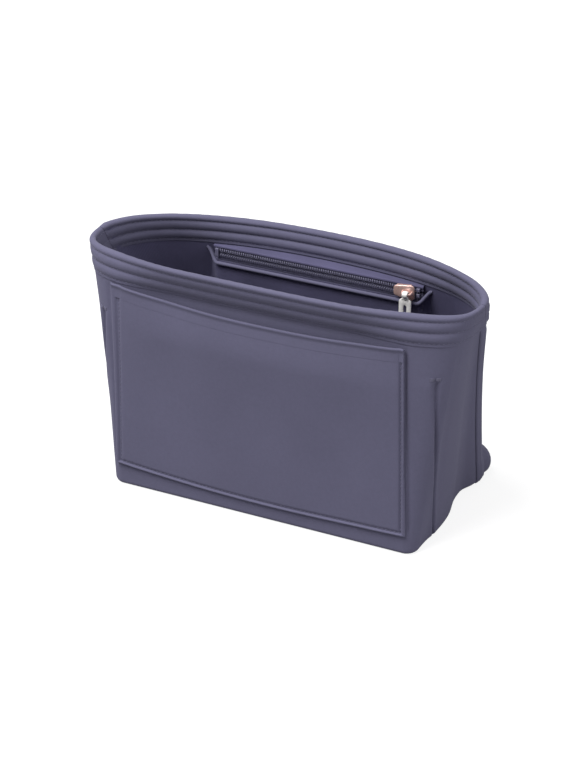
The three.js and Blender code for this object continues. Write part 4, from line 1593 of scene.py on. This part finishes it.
class INSERT_OT_slider(bpy.types.Operator):
    """Make the zip slider: its two plates, side walls, post and crown"""

    bl_idname = "insert.slider"
    bl_label = "Slider"

    def execute(self, context):
        sizes = context.scene.insert_slider
        low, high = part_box("slider_body")
        z = (low.z + high.z) / 2
        parts = self.plates(sizes, low, high, z) + self.side_walls(sizes, low, high, z)
        parts.append(self.post(sizes, low, high, z))
        body = join("slider_body_metal", parts)
        soften(body, sizes.edge)
        shade(body)
        finish_piece(body, "slider", "rose_gold", "slider_body")
        self.crown(sizes)
        return {"FINISHED"}

    @staticmethod
    def plates(sizes, low, high, z):
        """A front plate with a sloping border, narrower at its left end, and a straight rear plate."""
        narrow, wide = sizes.narrow_half, (high.z - low.z) / 2
        slope = sizes.plate * sizes.border_share
        outline = rounded_outline(low.x, high.x, narrow, wide, z, sizes.corner)
        front = outline_loop(outline, low.y + sizes.plate, filled=True)
        extrude_forward(front, sizes.plate - slope, sizes.border, slope)
        outline = rounded_outline(low.x, high.x, narrow, narrow, z, sizes.corner)
        rear = outline_loop(outline, high.y, filled=True)
        extrude_forward(rear, sizes.plate)
        return [front, rear]

    @staticmethod
    def side_walls(sizes, low, high, z):
        """Walls behind the long edges of the front plate, which hold the coils together."""
        start, stop = low.x + sizes.wall_start, high.x - sizes.wall_stop
        near = sizes.narrow_half - sizes.narrow_inset
        far = (high.z - low.z) / 2 - sizes.wide_inset
        corners = [(start, near), (stop, far), (start, near - sizes.wall), (stop, far - sizes.wall)]
        back = low.y + sizes.plate + sizes.wall_depth
        walls = []
        for sign in (-1, 1):
            deselect_all()
            bpy.ops.mesh.primitive_plane_add(size=1)
            wall = bpy.context.object
            set_vertices(wall.data, [(x, back, z + sign * off) for x, off in corners])
            walls.append(extrude_forward(wall, sizes.wall_depth + sizes.wall_sink))
        return walls

    @staticmethod
    def post(sizes, low, high, z):
        """A post between the coils, which holds the plates together."""
        post, shape = unit_cube("post")
        size = np.array([sizes.post_length, high.y - low.y - sizes.plate, sizes.post_height])
        middle = np.array([high.x - sizes.post_place, (low.y + high.y) / 2, z])
        set_vertices(post.data, shape * size + middle)
        return post

    @staticmethod
    def crown(sizes):
        """A bridge over the front plate, whose bar carries the pull tab."""
        low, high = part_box("slider_crown")
        bar, corner = sizes.crown_bar, sizes.crown_corner
        z = (low.z + high.z) / 2
        left, right = low.x + bar, high.x - bar
        front, foot = low.y + bar, high.y + sizes.crown_sink
        turn = np.linspace(0, math.pi / 2, BEND_POINTS)
        rounded, rising = corner * (1 - np.cos(turn)), corner * (1 - np.sin(turn))
        x = np.concatenate([[left], left + rounded, right - rising, [right]])
        y = np.concatenate([[foot], front + rising, front + rounded, [foot]])
        points = np.stack([x, y, np.full_like(x, z)], axis=-1)
        piece = tube_piece("slider_crown_metal", points, bar, fineness=4)
        shape = vertex_array(piece.data)
        down = smooth((shape[:, 1] - front) / (high.y - front))
        shape[:, 2] = z + (shape[:, 2] - z) * (1 + sizes.crown_flare * down)
        set_vertices(piece.data, shape)
        shade(piece, degrees=60)
        finish_piece(piece, "slider", "rose_gold", "slider_crown")


class INSERT_OT_pull_tab(bpy.types.Operator):
    """Make the slotted pull tab with the eye that it swings on"""

    bl_idname = "insert.pull_tab"
    bl_label = "Pull tab"

    def execute(self, context):
        sizes = context.scene.insert_tab
        low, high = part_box("pull_tab")
        crown_low, crown_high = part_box("slider_crown")
        x = (low.x + high.x) / 2
        hinge_y = crown_low.y + context.scene.insert_slider.crown_bar
        hinge_z = (crown_low.z + crown_high.z) / 2
        plate = self.slotted_plate(sizes, x, low, hinge_y, hinge_z)
        eye = self.eye(sizes, x, hinge_y, hinge_z, high.z - hinge_z)
        neck = self.neck(sizes, x, hinge_y, hinge_z)
        piece = join("pull_tab_metal", [plate, neck, eye])
        soften(piece, sizes.edge, segments=2)
        shade(piece)
        finish_piece(piece, "pull_tab", "silver", "pull_tab")
        return {"FINISHED"}

    @staticmethod
    def slotted_plate(sizes, x, low, hinge_y, hinge_z):
        """A plate with rounded corners and a slot with round ends."""
        head, slot_head = hinge_z - sizes.head, hinge_z - sizes.slot_head
        slot_foot = slot_head - sizes.slot_length
        back = hinge_y + sizes.thick / 2
        loops = []
        for half, top, bottom, corner in (
            (x - low.x, head, low.z, sizes.corner),
            (sizes.slot_half, slot_head, slot_foot, sizes.slot_half * sizes.slot_round),
        ):
            tall = (top - bottom) / 2
            outline = rounded_outline(x - half, x + half, tall, tall, (top + bottom) / 2, corner)
            loops.append(outline_loop(outline, back, filled=False))
        plate = join("plate", loops)
        with editing(plate):
            bpy.ops.mesh.bridge_edge_loops()
        return extrude_forward(plate, sizes.thick)

    @staticmethod
    def eye(sizes, x, y, z, radius):
        """A short barrel round the crown's bar."""
        columns = np.linspace(0, 2 * math.pi, EYE_COLUMNS)
        rows = np.linspace(-0.5, 0.5, EYE_ROWS)

        def place(angle, across):
            bulge = radius - sizes.eye_bulge * (2 * across) ** 4
            along = x + sizes.eye_width * across
            return np.stack([along, y + bulge * np.cos(angle), z + bulge * np.sin(angle)], axis=-1)

        barrel = grid_piece("eye", columns, rows, place)
        merge_and_turn_out(barrel)
        thicken(barrel, sizes.eye_wall)
        return barrel

    @staticmethod
    def neck(sizes, x, y, hinge_z):
        """A block from the eye down into the plate, wider at its foot."""
        neck, shape = unit_cube("neck")
        low, high = hinge_z - sizes.head - sizes.neck_lap, hinge_z - sizes.neck_head
        shape[shape[:, 2] < 0, 0] *= sizes.neck_flare
        size = np.array([sizes.eye_width, sizes.thick, high - low])
        set_vertices(neck.data, shape * size + np.array([x, y, (low + high) / 2]))
        return neck


class INSERT_OT_bar_tacks(bpy.types.Operator):
    """Make the bar tacks that hold the tops of the end darts"""

    bl_idname = "insert.bar_tacks"
    bl_label = "Bar tacks"

    def execute(self, context):
        form = WallForm()
        sizes = context.scene.insert_band
        half = sizes.tack_length / 2 + sizes.tack_margin
        behind = form.sizes.dart_head + np.linspace(-half, half, TACK_POINTS)
        lifts = np.linspace(-sizes.tack_height, sizes.tack_height, sizes.tack_rows)
        rows = []
        for side in (-1, 1):
            for height in form.sizes.dart_height + lifts:
                along = side * form.end_place(behind, height)
                z = np.full_like(along, height)
                face = form.darts(along, z) + sizes.tack_gap
                rows.append(StitchRow(form.point(along, z, face), form.normal(along, z)))
        stitching_piece("dart_bar_tacks", rows, sizes.tack_length + sizes.tack_margin, sizes.tack_length)
        return {"FINISHED"}


# Stage


class INSERT_OT_stage(bpy.types.Operator):
    """Make the floor, the light and the camera"""

    bl_idname = "insert.stage"
    bl_label = "Stage"

    def execute(self, context):
        sizes = context.scene.insert_stage
        self.floor(sizes)
        self.world(context.scene, sizes)
        self.lamp("Key lamp", sizes.key_place, sizes.key, sizes)
        self.lamp("Side lamp", sizes.side_place, sizes.side, sizes)
        self.camera(context.scene, sizes)
        context.scene.view_settings.view_transform = "Standard"
        return {"FINISHED"}

    @staticmethod
    def floor(sizes):
        """A white floor, which glows where the camera sees it."""
        deselect_all()
        bpy.ops.mesh.primitive_plane_add(size=sizes.floor_size)
        plane = bpy.context.object
        plane.name = "floor"
        white = Finish("floor_white")
        white.colour(white.noise(scale=3, detail=2), (sizes.floor_tone,) * 3, dark=0.99, light=1.01)
        glow = (*(sizes.floor_glow,) * 3, 1)
        white.set(roughness=0.9, specular_ior_level=0, emission_color=glow)
        path = add_node(white.tree, "ShaderNodeLightPath")
        white.tree.links.new(path.outputs["Is Camera Ray"], white.shader.inputs["Emission Strength"])
        plane.data.materials.append(white.material)

    @staticmethod
    def world(scene, sizes):
        """Even light, with a white backdrop where the camera or a reflection sees it."""
        world = bpy.data.worlds.new("Studio")
        world.use_nodes = True
        tree = world.node_tree
        scene.world = world
        path = add_node(tree, "ShaderNodeLightPath")
        rays = {0: path.outputs["Is Camera Ray"], 1: path.outputs["Is Glossy Ray"]}
        seen = add_node(tree, "ShaderNodeMath", rays, operation="MAXIMUM")
        background = tree.nodes["Background"]
        background.inputs["Color"].default_value = (1, 1, 1, 1)
        strength = {"Value": seen.outputs["Value"], "To Min": sizes.ambient, "To Max": 1.0}
        ranged = add_node(tree, "ShaderNodeMapRange", strength)
        tree.links.new(ranged.outputs["Result"], background.inputs["Strength"])

    @staticmethod
    def lamp(name, place, watts, sizes):
        """A round lamp that is turned to the insert."""
        data = bpy.data.lights.new(name, "AREA")
        data.shape = "DISK"
        data.size = sizes.lamp_size
        data.energy = watts
        lamp = bpy.data.objects.new(name, data)
        lamp.location = place
        aim = Vector((0, 0, sizes.aim_height)) - Vector(place)
        lamp.rotation_euler = aim.to_track_quat("-Z", "Y").to_euler()
        bpy.context.collection.objects.link(lamp)

    @staticmethod
    def camera(scene, sizes):
        """The view from the right of the front, a little from above."""
        base_low, base_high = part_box("base_panel")
        aim = Vector((0, (base_low.y + base_high.y) / 2, sizes.aim_height))
        level = Vector((math.sin(sizes.azimuth), -math.cos(sizes.azimuth), 0))
        back = level * math.cos(sizes.elevation) + Vector((0, 0, math.sin(sizes.elevation)))
        right = Vector((math.cos(sizes.azimuth), math.sin(sizes.azimuth), 0))
        up = back.cross(right)
        data = bpy.data.cameras.new("Camera")
        data.lens = sizes.lens
        data.sensor_width = SENSOR_WIDTH
        data.clip_start = NEAREST_SEEN
        camera = bpy.data.objects.new("Camera", data)
        camera.location = aim + back * sizes.distance
        view = -back - right * sizes.pan - up * sizes.tilt
        camera.rotation_euler = view.to_track_quat("-Z", "Y").to_euler()
        bpy.context.collection.objects.link(camera)
        scene.camera = camera


# Add-on


class INSERT_PT_panel(bpy.types.Panel):
    """Lists the pieces of the insert"""

    bl_idname = "INSERT_PT_panel"
    bl_label = "Purse organizer insert"
    bl_space_type = "VIEW_3D"
    bl_region_type = "UI"
    bl_category = "Insert"

    def draw(self, context):
        for operator in OPERATORS:
            self.layout.operator(operator.bl_idname)


SETTINGS = {
    "insert_wall": INSERT_PG_wall,
    "insert_band": INSERT_PG_band,
    "insert_seam": INSERT_PG_seam,
    "insert_pocket": INSERT_PG_pocket,
    "insert_zip": INSERT_PG_zip,
    "insert_slider": INSERT_PG_slider,
    "insert_tab": INSERT_PG_tab,
    "insert_finish": INSERT_PG_finish,
    "insert_stage": INSERT_PG_stage,
}

OPERATORS = (
    INSERT_OT_stage,
    INSERT_OT_walls,
    INSERT_OT_base,
    INSERT_OT_rim_band,
    INSERT_OT_side_seams,
    INSERT_OT_front_pocket,
    INSERT_OT_zip_pocket,
    INSERT_OT_zip,
    INSERT_OT_slider,
    INSERT_OT_pull_tab,
    INSERT_OT_bar_tacks,
)


def register():
    """Adds the settings, the operators and the panel to Blender."""
    for name, group in SETTINGS.items():
        bpy.utils.register_class(group)
        setattr(bpy.types.Scene, name, bpy.props.PointerProperty(type=group))
    for operator in (*OPERATORS, INSERT_PT_panel):
        bpy.utils.register_class(operator)


def unregister():
    """Takes them out again."""
    for operator in reversed((*OPERATORS, INSERT_PT_panel)):
        bpy.utils.unregister_class(operator)
    for name, group in reversed(SETTINGS.items()):
        delattr(bpy.types.Scene, name)
        bpy.utils.unregister_class(group)


def main():
    """Makes all the pieces."""
    register()
    for operator in OPERATORS:
        group, name = operator.bl_idname.split(".")
        getattr(getattr(bpy.ops, group), name)()


if __name__ == "__main__":
    main()
